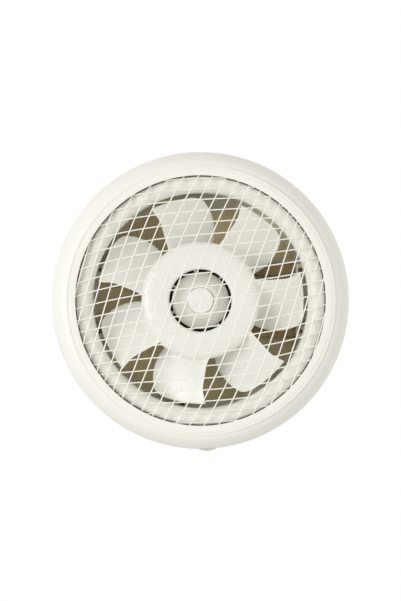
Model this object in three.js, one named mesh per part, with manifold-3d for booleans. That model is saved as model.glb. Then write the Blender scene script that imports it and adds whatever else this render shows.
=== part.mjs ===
import * as THREE from 'three';
import { mergeVertices } from 'three/addons/utils/BufferGeometryUtils.js';
import Module from 'manifold-3d';

const wasm = await Module();
wasm.setup();

// Lengths are in millimetres. The impeller turns about Y. The room is at -Y and the open air at +Y.
// Y is 0 on the face of the window pane that looks into the room.

// Clearances shared by all pieces
const SEAT_GAP = 0.3;
const CUT_OVERRUN = 1;

// Window pane and gaskets
const PANE_THICKNESS = 6;
const GASKET_THICKNESS = 2;
const GASKET_WIDTH = 16;
const GASKET_INSET = 1.9;

// Front bezel
const BEZEL_RADIUS = 148.4;
const BEZEL_DEPTH = 36;
const BEZEL_WALL = 2.2;
const BEZEL_SIDE_HEIGHT = 10;
const BEZEL_PANE_GAP = 0.8;
const BAND_WIDTH = 14.2;
const LIP_WIDTH = 9.9;
const LIP_STEP = 2.4;
const LIP_EDGE_ROUND = 0.8;
const GROOVE_INSET = 2.5;
const GROOVE_WIDTH = 0.8;
const GROOVE_DEPTH = 0.6;
const SPIGOT_LENGTH = 14;

// Wire guard
const RIM_OVERLAP = 1.3;
const RIM_WIDTH = 2.8;
const RIM_THICKNESS = 3.2;
const GUARD_RISE = 13;
const WIRE_THICKNESS = 1.2;
const WIRE_LAYER_GAP = 0.3;
const WIRE_SPAN = 38;
const WIRES_EACH_SIDE = 10;
const NET_INSET = 2;
const ROW_PITCH_SHARE = 0.10728;
const ROW_OFFSET_SHARE = 0.00096;
const ROW_ANGLE_DEG = 6.48;
const COLUMN_PITCH_SHARE = 0.10856;
const COLUMN_OFFSET_SHARE = -0.00664;
const COLUMN_ANGLE_DEG = 70.16;
const BOW_SHARE = 0.1185;
const CROWD_SHARE = 0.1106;
const TWIST_SHARE = 0.0587;
const SHEAR_SHARE = 0.0865;

// Air mouth and barrel
const SLOT_WIDTH = 1.8;
const MOUTH_WIDTH = 15;
const MOUTH_RECESS = 7;
const MOUTH_CROWN_SHARE = 0.633;
const MOUTH_INNER_ROLL = 10.5;
const MOUTH_OUTER_ROLL = 5;
const MOUTH_WALL = 2.3;
const BARREL_REACH = 10;

// Impeller
const TIP_GAP = 4.2;
const BLADE_COUNT = 7;
const FIRST_BLADE_DEG = 23;
const BLADE_FRONT = -19;
const BLADE_BACK = 8;
const BLADE_THICKNESS = 2;
const BLADE_CAMBER = 3.5;
const BLADE_EDGE_SHARE = 0.45;
const BLADE_CHORD_STEPS = 4;
const HUB_RADIUS = 59;
const HUB_FRONT = -25;
const HUB_BACK = 10;
const HUB_WALL = 2.2;
const HUB_OUTER_ROUND = 7;
const HUB_INNER_ROUND = 3.5;
const HUB_EYE_RADIUS = 31;
const HUB_EYE_DEPTH = 11;
const EYE_SLOT_WIDTH = 2.5;
const DISH_RISE = 5.5;
const DISH_RIM_DEPTH = 7;
const DISH_THICKNESS = 3;
const BOSS_RADIUS = 9;
const BOSS_BACK = -13;
const EYE_RIB_WIDTH = 3;
const EYE_RIB_HEIGHT = 4;
const EYE_RIB_SINK = 2.5;
const FIRST_EYE_RIB_DEG = 41;

// Nut in the middle of the impeller
const NUT_RADIUS = 12.8;
const NUT_SEAT_DEPTH = 2.5;
const NUT_THICKNESS = 4.6;
const NUT_CROWN = 1.1;
const NUT_FACE_WALL = 2;

// Motor
const SHAFT_RADIUS = 4;
const MOTOR_RADIUS = 42;
const MOTOR_FRONT = -8;
const MOTOR_LENGTH = 44;
const MOTOR_WALL = 2.2;
const MOTOR_ROUND = 2.5;
const MOTOR_SPLIT_SHARE = 0.45;
const BEARING_RADIUS = 9;
const BEARING_LENGTH = 5.8;
const BEARING_HOUSING_WALL = 2.2;
const SHAFT_HOLE_RADIUS = 5.2;
const STATOR_WIDTH = 14.5;
const AIR_GAP = 0.5;
const CORE_FRONT = 4;
const CORE_LENGTH = 20;
const WINDING_DEPTH = 10;
const WINDING_HEIGHT = 5.6;
const WINDING_ROUND = 1.6;
const DRIVE_PIN_RADIUS = 1;
const DRIVE_PIN_LENGTH = 16;

// Rails that carry the motor
const RAIL_HEIGHT = 12.5;
const RAIL_THICKNESS = 2.5;
const RAIL_INSET = 11;
const RAIL_LUG_LENGTH = 9;
const RAIL_LUG_DEPTH = 12;
const MOTOR_SCREW_PLACE = 18;

// Flanges, outdoor tunnel and the seat of the shutters
const FLANGE_THICKNESS = 2.6;
const BARREL_CLEARANCE = 1.2;
const TUNNEL_CLEARANCE = 2.2;
const TUNNEL_WALL = 2.4;
const TUNNEL_LENGTH = 38.1;
const SHUTTER_SEAT_WIDTH = 8;
const SHUTTER_SEAT_THICKNESS = 3;
const SEAT_BAR_HEIGHT = 6;

// Shutter flaps and their rods
const TOP_HINGE_INSET = 17;
const HINGE_SPACING = 66;
const FLAP_THICKNESS = 1.6;
const FLAP_EDGE_CLEARANCE = 5;
const FLAP_LAP = 2.4;
const FLAP_BOTTOM_FLAT = 1.5;
const HINGE_ROD_RADIUS = 1.5;
const HINGE_BARREL_WALL = 0.8;
const HINGE_EAR_THICKNESS = 3;
const HINGE_EAR_HEIGHT = 6;

// Outdoor hood and its slats
const HOOD_DEPTH = 114.7;
const HOOD_FRONT_INSET = 9.9;
const HOOD_BACK_INSET = 15.9;
const HOOD_WALL = 2;
const HOOD_FLANGE_THICKNESS = 2.2;
const HOOD_CORNER = 6;
const HOOD_LIP_WIDTH = 20;
const SLAT_COUNT = 7;
const SLAT_WIDTH = 20;
const SLAT_THICKNESS = 1.6;
const SLAT_TILT_DEG = 40;
const SLAT_OVERLAP = 6;

// Screws
const SCREW_RADIUS = 2;
const SCREW_HEAD_RADIUS = 3.2;
const SCREW_HEAD_HEIGHT = 2.2;
const SCREW_GRIP = 6;
const CLAMP_SCREW_COUNT = 3;
const CLAMP_BOSS_RADIUS = 4.2;
const CLAMP_BOSS_LENGTH = 13.7;
const CLAMP_SCREW_LENGTH = 25;
const HOOD_SCREW_COUNT = 4;
const HOOD_SCREW_INSET = 5;
const FIRST_HOOD_SCREW_DEG = 45;

// Mains parts behind the bezel
const TERMINAL_LENGTH = 32;
const TERMINAL_DEPTH = 9;
const TERMINAL_HEIGHT = 13;
const CAPACITOR_LENGTH = 28;
const CAPACITOR_DEPTH = 9;
const CAPACITOR_HEIGHT = 11;
const CAPACITOR_DEG = 222;
const LEAD_RADIUS = 2.2;
const LEAD_DEG = 190;
const LEAD_SHELF = 12;
const LEAD_DROP = 26;
const LEAD_BEND = 7;
const INLET_WIDTH = 20;
const INLET_DEPTH = 8;
const INLET_HEIGHT = 9;
const INLET_OUT = 2;
const INLET_FACE_RADIUS = 20;
const INLET_DEG = 177.4;
const INLET_BORE_RADIUS = 3.2;

// Counts of facets
const RING_SEGMENTS = 40;
const HUB_SEGMENTS = 35;
const MOTOR_SEGMENTS = 16;
const SMALL_SEGMENTS = 8;
const LEAD_STEPS = 24;
const ARC_STEPS = 2;

// Places that follow from the sizes above
const frameRadius = BEZEL_RADIUS - BEZEL_WALL - SEAT_GAP;
const gasketOuter = frameRadius - GASKET_INSET;
const gasketInner = gasketOuter - GASKET_WIDTH;
const lipOuter = BEZEL_RADIUS - BAND_WIDTH;
const lipInner = lipOuter - LIP_WIDTH;
const lipBack = BEZEL_WALL - BEZEL_DEPTH;
const rimInner = lipInner + RIM_OVERLAP;
const rimOuter = rimInner + RIM_WIDTH;
const rimMiddle = rimInner + RIM_WIDTH / 2;
const netRadius = rimMiddle - NET_INSET;
const rimFront = lipBack + SEAT_GAP;
const rimBack = rimFront + RIM_THICKNESS;
const frameBack = -GASKET_THICKNESS - SEAT_GAP;
const frameFront = frameBack - FLANGE_THICKNESS;
const mouthOuter = lipInner - SLOT_WIDTH;
const throatRadius = mouthOuter - MOUTH_WIDTH;
const impellerRadius = throatRadius - TIP_GAP;
const barrelOuter = throatRadius + MOUTH_WALL;
const barrelEnd = PANE_THICKNESS + BARREL_REACH;
const outdoorFront = PANE_THICKNESS + GASKET_THICKNESS + SEAT_GAP;
const outdoorBack = outdoorFront + FLANGE_THICKNESS;
const tunnelInner = barrelOuter + TUNNEL_CLEARANCE;
const tunnelOuter = tunnelInner + TUNNEL_WALL;
const tunnelEnd = outdoorFront + TUNNEL_LENGTH;
const seatFront = tunnelEnd - SHUTTER_SEAT_THICKNESS;
const clampCircle = (barrelOuter + mouthOuter - MOUTH_WALL) / 2;
const motorBack = MOTOR_FRONT + MOTOR_LENGTH;
const motorSplit = MOTOR_FRONT + MOTOR_LENGTH * MOTOR_SPLIT_SHARE;
const statorOuter = MOTOR_RADIUS - MOTOR_WALL - SEAT_GAP;
const statorInner = statorOuter - STATOR_WIDTH;
const rotorRadius = statorInner - AIR_GAP;
const railCentre = MOTOR_RADIUS - RAIL_INSET;
const railFront = motorBack + SEAT_GAP;
const railBack = railFront + RAIL_THICKNESS;
const flapRadius = tunnelInner - FLAP_EDGE_CLEARANCE;
const topHinge = flapRadius - TOP_HINGE_INSET;
const middleHinge = HINGE_SPACING / 2;
const bottomHinge = -HINGE_SPACING / 2;
const flapFront = tunnelEnd + SEAT_GAP;
const flapMiddle = flapFront + FLAP_THICKNESS / 2;
const hingeBore = HINGE_ROD_RADIUS + SEAT_GAP;
const hingeBarrel = hingeBore + HINGE_BARREL_WALL;
const hoodBackRadius = frameRadius - HOOD_BACK_INSET;
const hoodMouth = hoodBackRadius - HOOD_LIP_WIDTH;
const hoodFront = outdoorBack + SEAT_GAP;
const hoodBack = hoodFront + HOOD_DEPTH;
const dishRadius = HUB_EYE_RADIUS - EYE_SLOT_WIDTH;
const dishFront = HUB_FRONT - SEAT_GAP;
const nutSeat = dishFront + NUT_SEAT_DEPTH;
const shaftFront = nutSeat - SEAT_GAP - NUT_THICKNESS + NUT_FACE_WALL;
const leadShelf = frameFront - LEAD_SHELF;
const inletMiddle = frameFront - 2 * SEAT_GAP - INLET_DEPTH / 2;

const group = new THREE.Group();

// Materials

function plastic(color, roughness) {
  return new THREE.MeshStandardMaterial({ color, roughness, metalness: 0 });
}

function metal(color, roughness) {
  return new THREE.MeshStandardMaterial({ color, roughness, metalness: 1 });
}

const casePlastic = () => plastic(0xe9e8dd, 0.42);
const wirePlastic = () => plastic(0xf4f1e4, 0.38);
const impellerPlastic = () => plastic(0xf2f1ea, 0.34);
const dishPlastic = () => plastic(0xe8e7de, 0.36);
const inletPlastic = () => plastic(0xcfcfc6, 0.5);
const outdoorPlastic = () => plastic(0xdcd8c8, 0.5);
const flapPlastic = () => plastic(0x8c8468, 0.55);
const gasketRubber = () => plastic(0x2b2b29, 0.85);
const motorPaint = () => plastic(0x3a3b38, 0.5);
const leadSheath = () => plastic(0x55544e, 0.6);
const windingEnamel = () => plastic(0x8a4b22, 0.45);
const laminatedSteel = () => metal(0x77797a, 0.5);
const brightSteel = () => metal(0xb9bcbd, 0.3);
const zincPlate = () => metal(0xa7a9a4, 0.42);

// Shapes

function radians(degrees) {
  return THREE.MathUtils.degToRad(degrees);
}

function lathe(profile, segments) {
  return new THREE.LatheGeometry(profile.map(([r, y]) => new THREE.Vector2(r, y)), segments);
}

function ring(profile, segments) {
  return lathe([...profile, profile[0]], segments);
}

function plainRing(inner, outer, front, back, segments) {
  return ring([[inner, front], [outer, front], [outer, back], [inner, back]], segments);
}

// Points of an elliptical arc, both ends included
function arc(centre, radii, fromDeg, toDeg, steps) {
  const points = [];
  for (let i = 0; i <= steps; i += 1) {
    const angle = radians(fromDeg + (toDeg - fromDeg) * i / steps);
    points.push([centre[0] + radii[0] * Math.cos(angle), centre[1] + radii[1] * Math.sin(angle)]);
  }
  return points;
}

// Box given by its middle and its size along X, Y and Z
function block(size, middle) {
  return new THREE.BoxGeometry(...size).translate(...middle);
}

// Rod along Y from front to back
function rodY(radius, front, back, x, z, segments) {
  const rod = new THREE.CylinderGeometry(radius, radius, back - front, segments);
  return rod.translate(x, (front + back) / 2, z);
}

// Rod along X
function rodX(radius, length, y, z, segments) {
  return new THREE.CylinderGeometry(radius, radius, length, segments).rotateZ(Math.PI / 2).translate(0, y, z);
}

// Place on a circle about Y, at an angle clockwise from the top as seen from the room
function onCircle(radius, degrees) {
  const angle = radians(degrees);
  return [radius * Math.sin(angle), radius * Math.cos(angle)];
}

// Turns geometry that was made at the top of the circle to another angle
function turned(geometry, degrees) {
  return geometry.rotateY(radians(degrees));
}

function solid(geometry) {
  const bare = geometry.index ? geometry.toNonIndexed() : geometry.clone();
  bare.deleteAttribute('normal');
  bare.deleteAttribute('uv');
  const merged = mergeVertices(bare);
  const vertProperties = new Float32Array(merged.attributes.position.array);
  const triVerts = new Uint32Array(merged.index.array);
  return new wasm.Manifold(new wasm.Mesh({ numProp: 3, vertProperties, triVerts }));
}

function joined(geometries) {
  return geometries.map(solid).reduce((sum, next) => sum.add(next));
}

function without(body, geometries) {
  return geometries.map(solid).reduce((rest, next) => rest.subtract(next), body);
}

function shapeOf(body) {
  const mesh = body.getMesh();
  const geometry = new THREE.BufferGeometry();
  const positions = [];
  for (let i = 0; i < mesh.vertProperties.length; i += mesh.numProp) {
    positions.push(...mesh.vertProperties.slice(i, i + 3));
  }
  geometry.setAttribute('position', new THREE.Float32BufferAttribute(positions, 3));
  geometry.setIndex(Array.from(mesh.triVerts));
  geometry.computeVertexNormals();
  return geometry;
}

function addPart(name, geometry, material) {
  const mesh = new THREE.Mesh(geometry, material);
  mesh.name = name;
  group.add(mesh);
  return mesh;
}

// Closed skin over rings of points that all have the same count
function skin(rings) {
  const count = rings[0].length;
  const positions = rings.flat().flatMap((point) => [point.x, point.y, point.z]);
  const faces = [];
  for (let row = 0; row + 1 < rings.length; row += 1) {
    for (let i = 0; i < count; i += 1) {
      const here = row * count + i;
      const next = row * count + (i + 1) % count;
      faces.push(here, next, here + count, next, next + count, here + count);
    }
  }
  const last = (rings.length - 1) * count;
  for (let i = 1; i + 1 < count; i += 1) {
    faces.push(0, i + 1, i);
    faces.push(last, last + i, last + i + 1);
  }
  const geometry = new THREE.BufferGeometry();
  geometry.setAttribute('position', new THREE.Float32BufferAttribute(positions, 3));
  geometry.setIndex(faces);
  geometry.computeVertexNormals();
  return geometry;
}

// Straight stretches joined by round bends
function bentPath(corners, bend) {
  const path = new THREE.CurvePath();
  let start = corners[0];
  for (let i = 1; i + 1 < corners.length; i += 1) {
    const corner = corners[i];
    const before = corner.clone().add(corners[i - 1].clone().sub(corner).setLength(bend));
    const after = corner.clone().add(corners[i + 1].clone().sub(corner).setLength(bend));
    path.add(new THREE.LineCurve3(start, before));
    path.add(new THREE.QuadraticBezierCurve3(before, corner, after));
    start = after;
  }
  path.add(new THREE.LineCurve3(start, corners[corners.length - 1]));
  return path;
}

function tube(path, radius) {
  const outline = [];
  for (let i = 0; i < SMALL_SEGMENTS; i += 1) {
    const angle = i * 2 * Math.PI / SMALL_SEGMENTS;
    outline.push(new THREE.Vector2(radius * Math.cos(angle), radius * Math.sin(angle)));
  }
  return new THREE.ExtrudeGeometry(new THREE.Shape(outline), { steps: LEAD_STEPS, extrudePath: path });
}

// Screw along Y whose head is on the side that headSide points to
function screwShape(headSeat, headSide, length, x, z) {
  const profile = [
    [0, 0],
    [SCREW_HEAD_RADIUS, 0],
    [SCREW_HEAD_RADIUS, SCREW_HEAD_HEIGHT],
    [SCREW_RADIUS, SCREW_HEAD_HEIGHT],
    [SCREW_RADIUS, SCREW_HEAD_HEIGHT + length],
    [0, SCREW_HEAD_HEIGHT + length],
  ];
  const screw = lathe(profile, SMALL_SEGMENTS).translate(0, -SCREW_HEAD_HEIGHT, 0);
  if (headSide > 0) screw.rotateX(Math.PI);
  return screw.translate(x, headSeat, z);
}

function screwHole(front, back, x, z) {
  const radius = SCREW_RADIUS + SEAT_GAP;
  return rodY(radius, front - CUT_OVERRUN, back + CUT_OVERRUN, x, z, SMALL_SEGMENTS);
}

// Motor lead, from the terminal box through both flanges to the side of the motor
function leadPath() {
  const corners = [
    [rimOuter + BEZEL_WALL + 2 * SEAT_GAP, leadShelf],
    [clampCircle + SEAT_GAP, leadShelf],
    [clampCircle + SEAT_GAP, LEAD_DROP],
    [MOTOR_RADIUS + SEAT_GAP, LEAD_DROP],
  ];
  const points = corners.map(([radius, y]) => {
    const [x, z] = onCircle(radius, LEAD_DEG);
    return new THREE.Vector3(x, y, z);
  });
  return bentPath(points, LEAD_BEND);
}

function leadTunnel() {
  return tube(leadPath(), LEAD_RADIUS + 2 * SEAT_GAP);
}

// Cord inlet with its rounded outer side, grown by a margin on all sides
function inletBody(margin) {
  const half = INLET_WIDTH / 2 + margin;
  const faceRadius = INLET_FACE_RADIUS + margin;
  const middle = BEZEL_RADIUS + INLET_OUT - INLET_FACE_RADIUS;
  const inner = BEZEL_RADIUS + INLET_OUT - INLET_HEIGHT - margin;
  const spanDeg = THREE.MathUtils.radToDeg(Math.acos(half / faceRadius));
  const face = arc([0, middle], [faceRadius, faceRadius], spanDeg, 180 - spanDeg, ARC_STEPS * 4);
  const corners = [[half, inner], ...face, [-half, inner]];
  const outline = new THREE.Shape(corners.map(([x, z]) => new THREE.Vector2(x, z)));
  const depth = INLET_DEPTH + 2 * margin;
  const body = new THREE.ExtrudeGeometry(outline, { depth, bevelEnabled: false });
  return turned(body.rotateX(Math.PI / 2).translate(0, inletMiddle + depth / 2, 0), INLET_DEG);
}

// Front bezel: a rolled band, a step and a flat lip with a fine groove

function frontBezel() {
  const sideFront = -BEZEL_PANE_GAP - BEZEL_SIDE_HEIGHT;
  const bandFront = LIP_STEP - BEZEL_DEPTH;
  const grooveMiddle = lipOuter - GROOVE_INSET;
  const spigotInner = rimOuter + SEAT_GAP;
  const spigotOuter = spigotInner + BEZEL_WALL;
  const bandRadii = [BAND_WIDTH, bandFront - sideFront];
  const innerRadii = [BAND_WIDTH - BEZEL_WALL, bandFront - sideFront + BEZEL_WALL];
  const shell = ring([
    [lipInner, lipBack],
    [lipInner, LIP_EDGE_ROUND - BEZEL_DEPTH],
    [lipInner + LIP_EDGE_ROUND, -BEZEL_DEPTH],
    [grooveMiddle - GROOVE_WIDTH / 2, -BEZEL_DEPTH],
    [grooveMiddle, GROOVE_DEPTH - BEZEL_DEPTH],
    [grooveMiddle + GROOVE_WIDTH / 2, -BEZEL_DEPTH],
    [lipOuter, -BEZEL_DEPTH],
    ...arc([lipOuter, sideFront], bandRadii, 90, 0, ARC_STEPS * 2),
    [BEZEL_RADIUS, -BEZEL_PANE_GAP],
    [BEZEL_RADIUS - BEZEL_WALL, -BEZEL_PANE_GAP],
    ...arc([lipOuter, sideFront], innerRadii, 0, 90, ARC_STEPS * 2),
    [spigotOuter, bandFront + BEZEL_WALL],
    [spigotOuter, lipBack + SPIGOT_LENGTH],
    [spigotInner, lipBack + SPIGOT_LENGTH],
    [spigotInner, lipBack],
  ], RING_SEGMENTS);
  addPart('front_bezel', shapeOf(without(solid(shell), [inletBody(SEAT_GAP)])), casePlastic());
}

// Wire guard: two families of wires drawn closer together towards the rim

// Distance of wire number index from the middle of its family, at the place u along it
function wireOffset(u, index, family) {
  const target = index * family.pitchShare - family.offsetShare;
  let v = target;
  for (let step = 0; step < 8; step += 1) {
    const value = v * (1 + BOW_SHARE * u * u + CROWD_SHARE * v * v)
      + family.side * (TWIST_SHARE * u * u * u - SHEAR_SHARE * u * v * v);
    const slope = 1 + BOW_SHARE * u * u + 3 * CROWD_SHARE * v * v - 2 * family.side * SHEAR_SHARE * u * v;
    v -= (value - target) / slope;
  }
  return v;
}

// Where the wire meets the rim on the side that the sign names
function wireEnd(sign, index, family, reach) {
  let u = sign * reach;
  for (let step = 0; step < 12; step += 1) {
    const v = wireOffset(u, index, family);
    u = (u + sign * Math.sqrt(Math.max(0, reach * reach - v * v))) / 2;
  }
  return u;
}

function wireShape(index, family) {
  const reach = rimMiddle / netRadius;
  const start = wireEnd(-1, index, family, reach);
  const end = wireEnd(1, index, family, reach);
  const steps = Math.max(2, Math.round((end - start) * netRadius / WIRE_SPAN));
  const angle = radians(family.angle);
  const half = WIRE_THICKNESS / 2;
  const middleY = (rimFront + rimBack) / 2 + family.side * (WIRE_THICKNESS + WIRE_LAYER_GAP) / 2;
  const centres = [];
  for (let i = 0; i <= steps; i += 1) {
    const u = start + (end - start) * i / steps;
    const v = wireOffset(u, index, family);
    const rise = GUARD_RISE * (1 - (u * u + v * v) / (reach * reach));
    const x = netRadius * (u * Math.cos(angle) + v * Math.sin(angle));
    const z = netRadius * (u * Math.sin(angle) - v * Math.cos(angle));
    centres.push(new THREE.Vector3(x, middleY - rise, z));
  }
  const rings = centres.map((centre, i) => {
    const before = centres[Math.max(0, i - 1)];
    const after = centres[Math.min(steps, i + 1)];
    const along = after.clone().sub(before).setY(0).normalize();
    const across = new THREE.Vector3(along.z, 0, -along.x).multiplyScalar(half);
    const depth = new THREE.Vector3(0, half, 0);
    return [
      centre.clone().sub(depth).sub(across),
      centre.clone().sub(depth).add(across),
      centre.clone().add(depth).add(across),
      centre.clone().add(depth).sub(across),
    ];
  });
  return skin(rings);
}

function wireGuard() {
  const families = [
    { pitchShare: ROW_PITCH_SHARE, offsetShare: ROW_OFFSET_SHARE, angle: ROW_ANGLE_DEG, side: 1 },
    { pitchShare: COLUMN_PITCH_SHARE, offsetShare: COLUMN_OFFSET_SHARE, angle: COLUMN_ANGLE_DEG, side: -1 },
  ];
  const wires = [];
  families.forEach((family) => {
    for (let index = -WIRES_EACH_SIDE; index <= WIRES_EACH_SIDE; index += 1) {
      wires.push(wireShape(index, family));
    }
  });
  const rim = plainRing(rimInner, rimOuter, rimFront, rimBack, RING_SEGMENTS);
  addPart('wire_guard', shapeOf(joined([rim, ...wires])), wirePlastic());
}

// Orifice ring: the rolled air mouth, its skirt and the barrel round the blades

function orificeRing() {
  const crownRadius = throatRadius + (mouthOuter - throatRadius) * MOUTH_CROWN_SHARE;
  const crownY = MOUTH_RECESS - BEZEL_DEPTH;
  const innerRoll = [crownRadius, crownY + MOUTH_INNER_ROLL];
  const outerRoll = [crownRadius, crownY + MOUTH_OUTER_ROLL];
  const innerWidth = crownRadius - throatRadius;
  const outerWidth = mouthOuter - crownRadius;
  const skirtEnd = frameFront - SEAT_GAP;
  const outside = [
    ...arc(innerRoll, [innerWidth, MOUTH_INNER_ROLL], 180, 270, ARC_STEPS + 1),
    ...arc(outerRoll, [outerWidth, MOUTH_OUTER_ROLL], 270, 360, ARC_STEPS).slice(1),
    [mouthOuter, skirtEnd],
  ];
  const inside = [
    [mouthOuter - MOUTH_WALL, skirtEnd],
    ...arc(outerRoll, [outerWidth - MOUTH_WALL, MOUTH_OUTER_ROLL - MOUTH_WALL], 360, 270, ARC_STEPS),
    ...arc(innerRoll, [innerWidth - MOUTH_WALL, MOUTH_INNER_ROLL - MOUTH_WALL], 270, 180, ARC_STEPS).slice(1),
    [barrelOuter, barrelEnd],
    [throatRadius, barrelEnd],
  ];
  const body = without(solid(ring([...outside, ...inside], RING_SEGMENTS)), [leadTunnel()]);
  addPart('orifice_ring', shapeOf(body), casePlastic());
}

// Frames and gaskets on both faces of the pane

function clampPlaces() {
  return Array.from({ length: CLAMP_SCREW_COUNT }, (_, i) => onCircle(clampCircle, i * 360 / CLAMP_SCREW_COUNT));
}

function hoodScrewPlaces() {
  return Array.from({ length: HOOD_SCREW_COUNT }, (_, i) => {
    const degrees = FIRST_HOOD_SCREW_DEG + i * 360 / HOOD_SCREW_COUNT;
    return onCircle(frameRadius - HOOD_SCREW_INSET, degrees);
  });
}

function indoorFrame() {
  const standInner = rimInner + SEAT_GAP;
  const plate = ring([
    [barrelOuter + BARREL_CLEARANCE, frameBack],
    [barrelOuter + BARREL_CLEARANCE, frameFront],
    [standInner, frameFront],
    [standInner, rimBack + SEAT_GAP],
    [rimOuter, rimBack + SEAT_GAP],
    [rimOuter, frameFront],
    [frameRadius, frameFront],
    [frameRadius, frameBack],
  ], RING_SEGMENTS);
  const holes = clampPlaces().map(([x, z]) => screwHole(frameFront, frameBack, x, z));
  addPart('indoor_frame', shapeOf(without(solid(plate), [...holes, leadTunnel()])), casePlastic());
}

function gaskets() {
  const indoor = plainRing(gasketInner, gasketOuter, -GASKET_THICKNESS, 0, RING_SEGMENTS);
  const back = PANE_THICKNESS + GASKET_THICKNESS;
  const outdoor = plainRing(gasketInner, gasketOuter, PANE_THICKNESS, back, RING_SEGMENTS);
  addPart('indoor_gasket', indoor, gasketRubber());
  addPart('outdoor_gasket', outdoor, gasketRubber());
}

function flapHalfWidth(height) {
  return Math.sqrt(flapRadius * flapRadius - height * height);
}

function railPlaces() {
  const reach = Math.sqrt(tunnelInner * tunnelInner - (railCentre + RAIL_HEIGHT / 2) ** 2) - SEAT_GAP;
  const x = reach - RAIL_LUG_LENGTH / 2;
  return { reach, corners: [[-x, railCentre], [x, railCentre], [-x, -railCentre], [x, -railCentre]] };
}

function railLugs() {
  const depth = [motorBack - RAIL_LUG_DEPTH, motorBack];
  const keep = solid(rodY(tunnelOuter - SEAT_GAP, depth[0], depth[1], 0, 0, RING_SEGMENTS));
  const width = tunnelOuter - railPlaces().reach + RAIL_LUG_LENGTH;
  return railPlaces().corners.map(([x, z]) => {
    const middle = Math.sign(x) * (tunnelOuter - width / 2);
    const lug = block([width, RAIL_LUG_DEPTH, RAIL_HEIGHT], [middle, (depth[0] + depth[1]) / 2, z]);
    return solid(lug).intersect(keep);
  });
}

// Inner face of the ears, past every part of the flap that swings by their corners
function earStart(hinge) {
  const corner = Math.hypot(HINGE_EAR_HEIGHT, HINGE_EAR_HEIGHT) / 2 + SEAT_GAP;
  return flapHalfWidth(Math.abs(hinge) - corner) + 2 * SEAT_GAP;
}

function hingeEars() {
  const ears = [];
  [topHinge, middleHinge, bottomHinge].forEach((height) => {
    const x = earStart(height) + HINGE_EAR_THICKNESS / 2;
    const back = flapMiddle + HINGE_EAR_HEIGHT / 2;
    const size = [HINGE_EAR_THICKNESS, back - seatFront, HINGE_EAR_HEIGHT];
    ears.push(block(size, [-x, (back + seatFront) / 2, height]));
    ears.push(block(size, [x, (back + seatFront) / 2, height]));
  });
  return ears;
}

// Lowest place of the seat bar over a hinge
function barBottom(hinge) {
  return hinge + hingeBarrel + SEAT_GAP * 3;
}

function seatBars() {
  return [middleHinge, bottomHinge].map((hinge) => {
    const height = barBottom(hinge) + SEAT_BAR_HEIGHT / 2;
    const length = 2 * Math.sqrt(tunnelInner * tunnelInner - height * height);
    const size = [length, SHUTTER_SEAT_THICKNESS, SEAT_BAR_HEIGHT];
    return block(size, [0, (seatFront + tunnelEnd) / 2, height]);
  });
}

// Closed part of the seat above the top flap
function seatCap() {
  const disc = solid(rodY(tunnelInner + SEAT_GAP, seatFront, tunnelEnd, 0, 0, RING_SEGMENTS));
  const bottom = barBottom(topHinge);
  const size = [2 * tunnelInner, SHUTTER_SEAT_THICKNESS * 2, tunnelOuter];
  return disc.intersect(solid(block(size, [0, tunnelEnd, bottom + tunnelOuter / 2])));
}

function outdoorFrame() {
  const shell = ring([
    [tunnelInner, outdoorFront],
    [frameRadius, outdoorFront],
    [frameRadius, outdoorBack],
    [tunnelOuter, outdoorBack],
    [tunnelOuter, tunnelEnd],
    [tunnelInner - SHUTTER_SEAT_WIDTH, tunnelEnd],
    [tunnelInner - SHUTTER_SEAT_WIDTH, seatFront],
    [tunnelInner, seatFront],
  ], RING_SEGMENTS);
  const bosses = clampPlaces().map(([x, z]) => (
    rodY(CLAMP_BOSS_RADIUS, outdoorFront, outdoorFront + CLAMP_BOSS_LENGTH, x, z, SMALL_SEGMENTS)
  ));
  let body = joined([shell, ...bosses, ...seatBars(), ...hingeEars()]).add(seatCap());
  railLugs().forEach((lug) => {
    body = body.add(lug);
  });
  const bore = solid(rodY(tunnelInner, outdoorFront - CUT_OVERRUN, outdoorBack, 0, 0, RING_SEGMENTS));
  const cuts = [
    ...clampPlaces().map(([x, z]) => screwHole(outdoorFront, outdoorFront + CLAMP_BOSS_LENGTH, x, z)),
    ...hoodScrewPlaces().map(([x, z]) => screwHole(outdoorFront, outdoorBack, x, z)),
    ...railPlaces().corners.map(([x, z]) => screwHole(motorBack - RAIL_LUG_DEPTH, motorBack, x, z)),
    ...[topHinge, middleHinge, bottomHinge].map((height) => (
      rodX(hingeBore, 2 * tunnelOuter, flapMiddle, height, SMALL_SEGMENTS)
    )),
    leadTunnel(),
  ];
  addPart('outdoor_frame', shapeOf(without(body.subtract(bore), cuts)), outdoorPlastic());
}

// Shutter flaps that hang from rods and swing outwards

// Half length of the sleeve on a rod, which turns inside the seat's opening
function sleeveReach(hinge) {
  const opening = tunnelInner - SHUTTER_SEAT_WIDTH - SEAT_GAP;
  const height = Math.abs(hinge) + hingeBarrel;
  return Math.sqrt(opening * opening - height * height) - 2 * SEAT_GAP;
}

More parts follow.
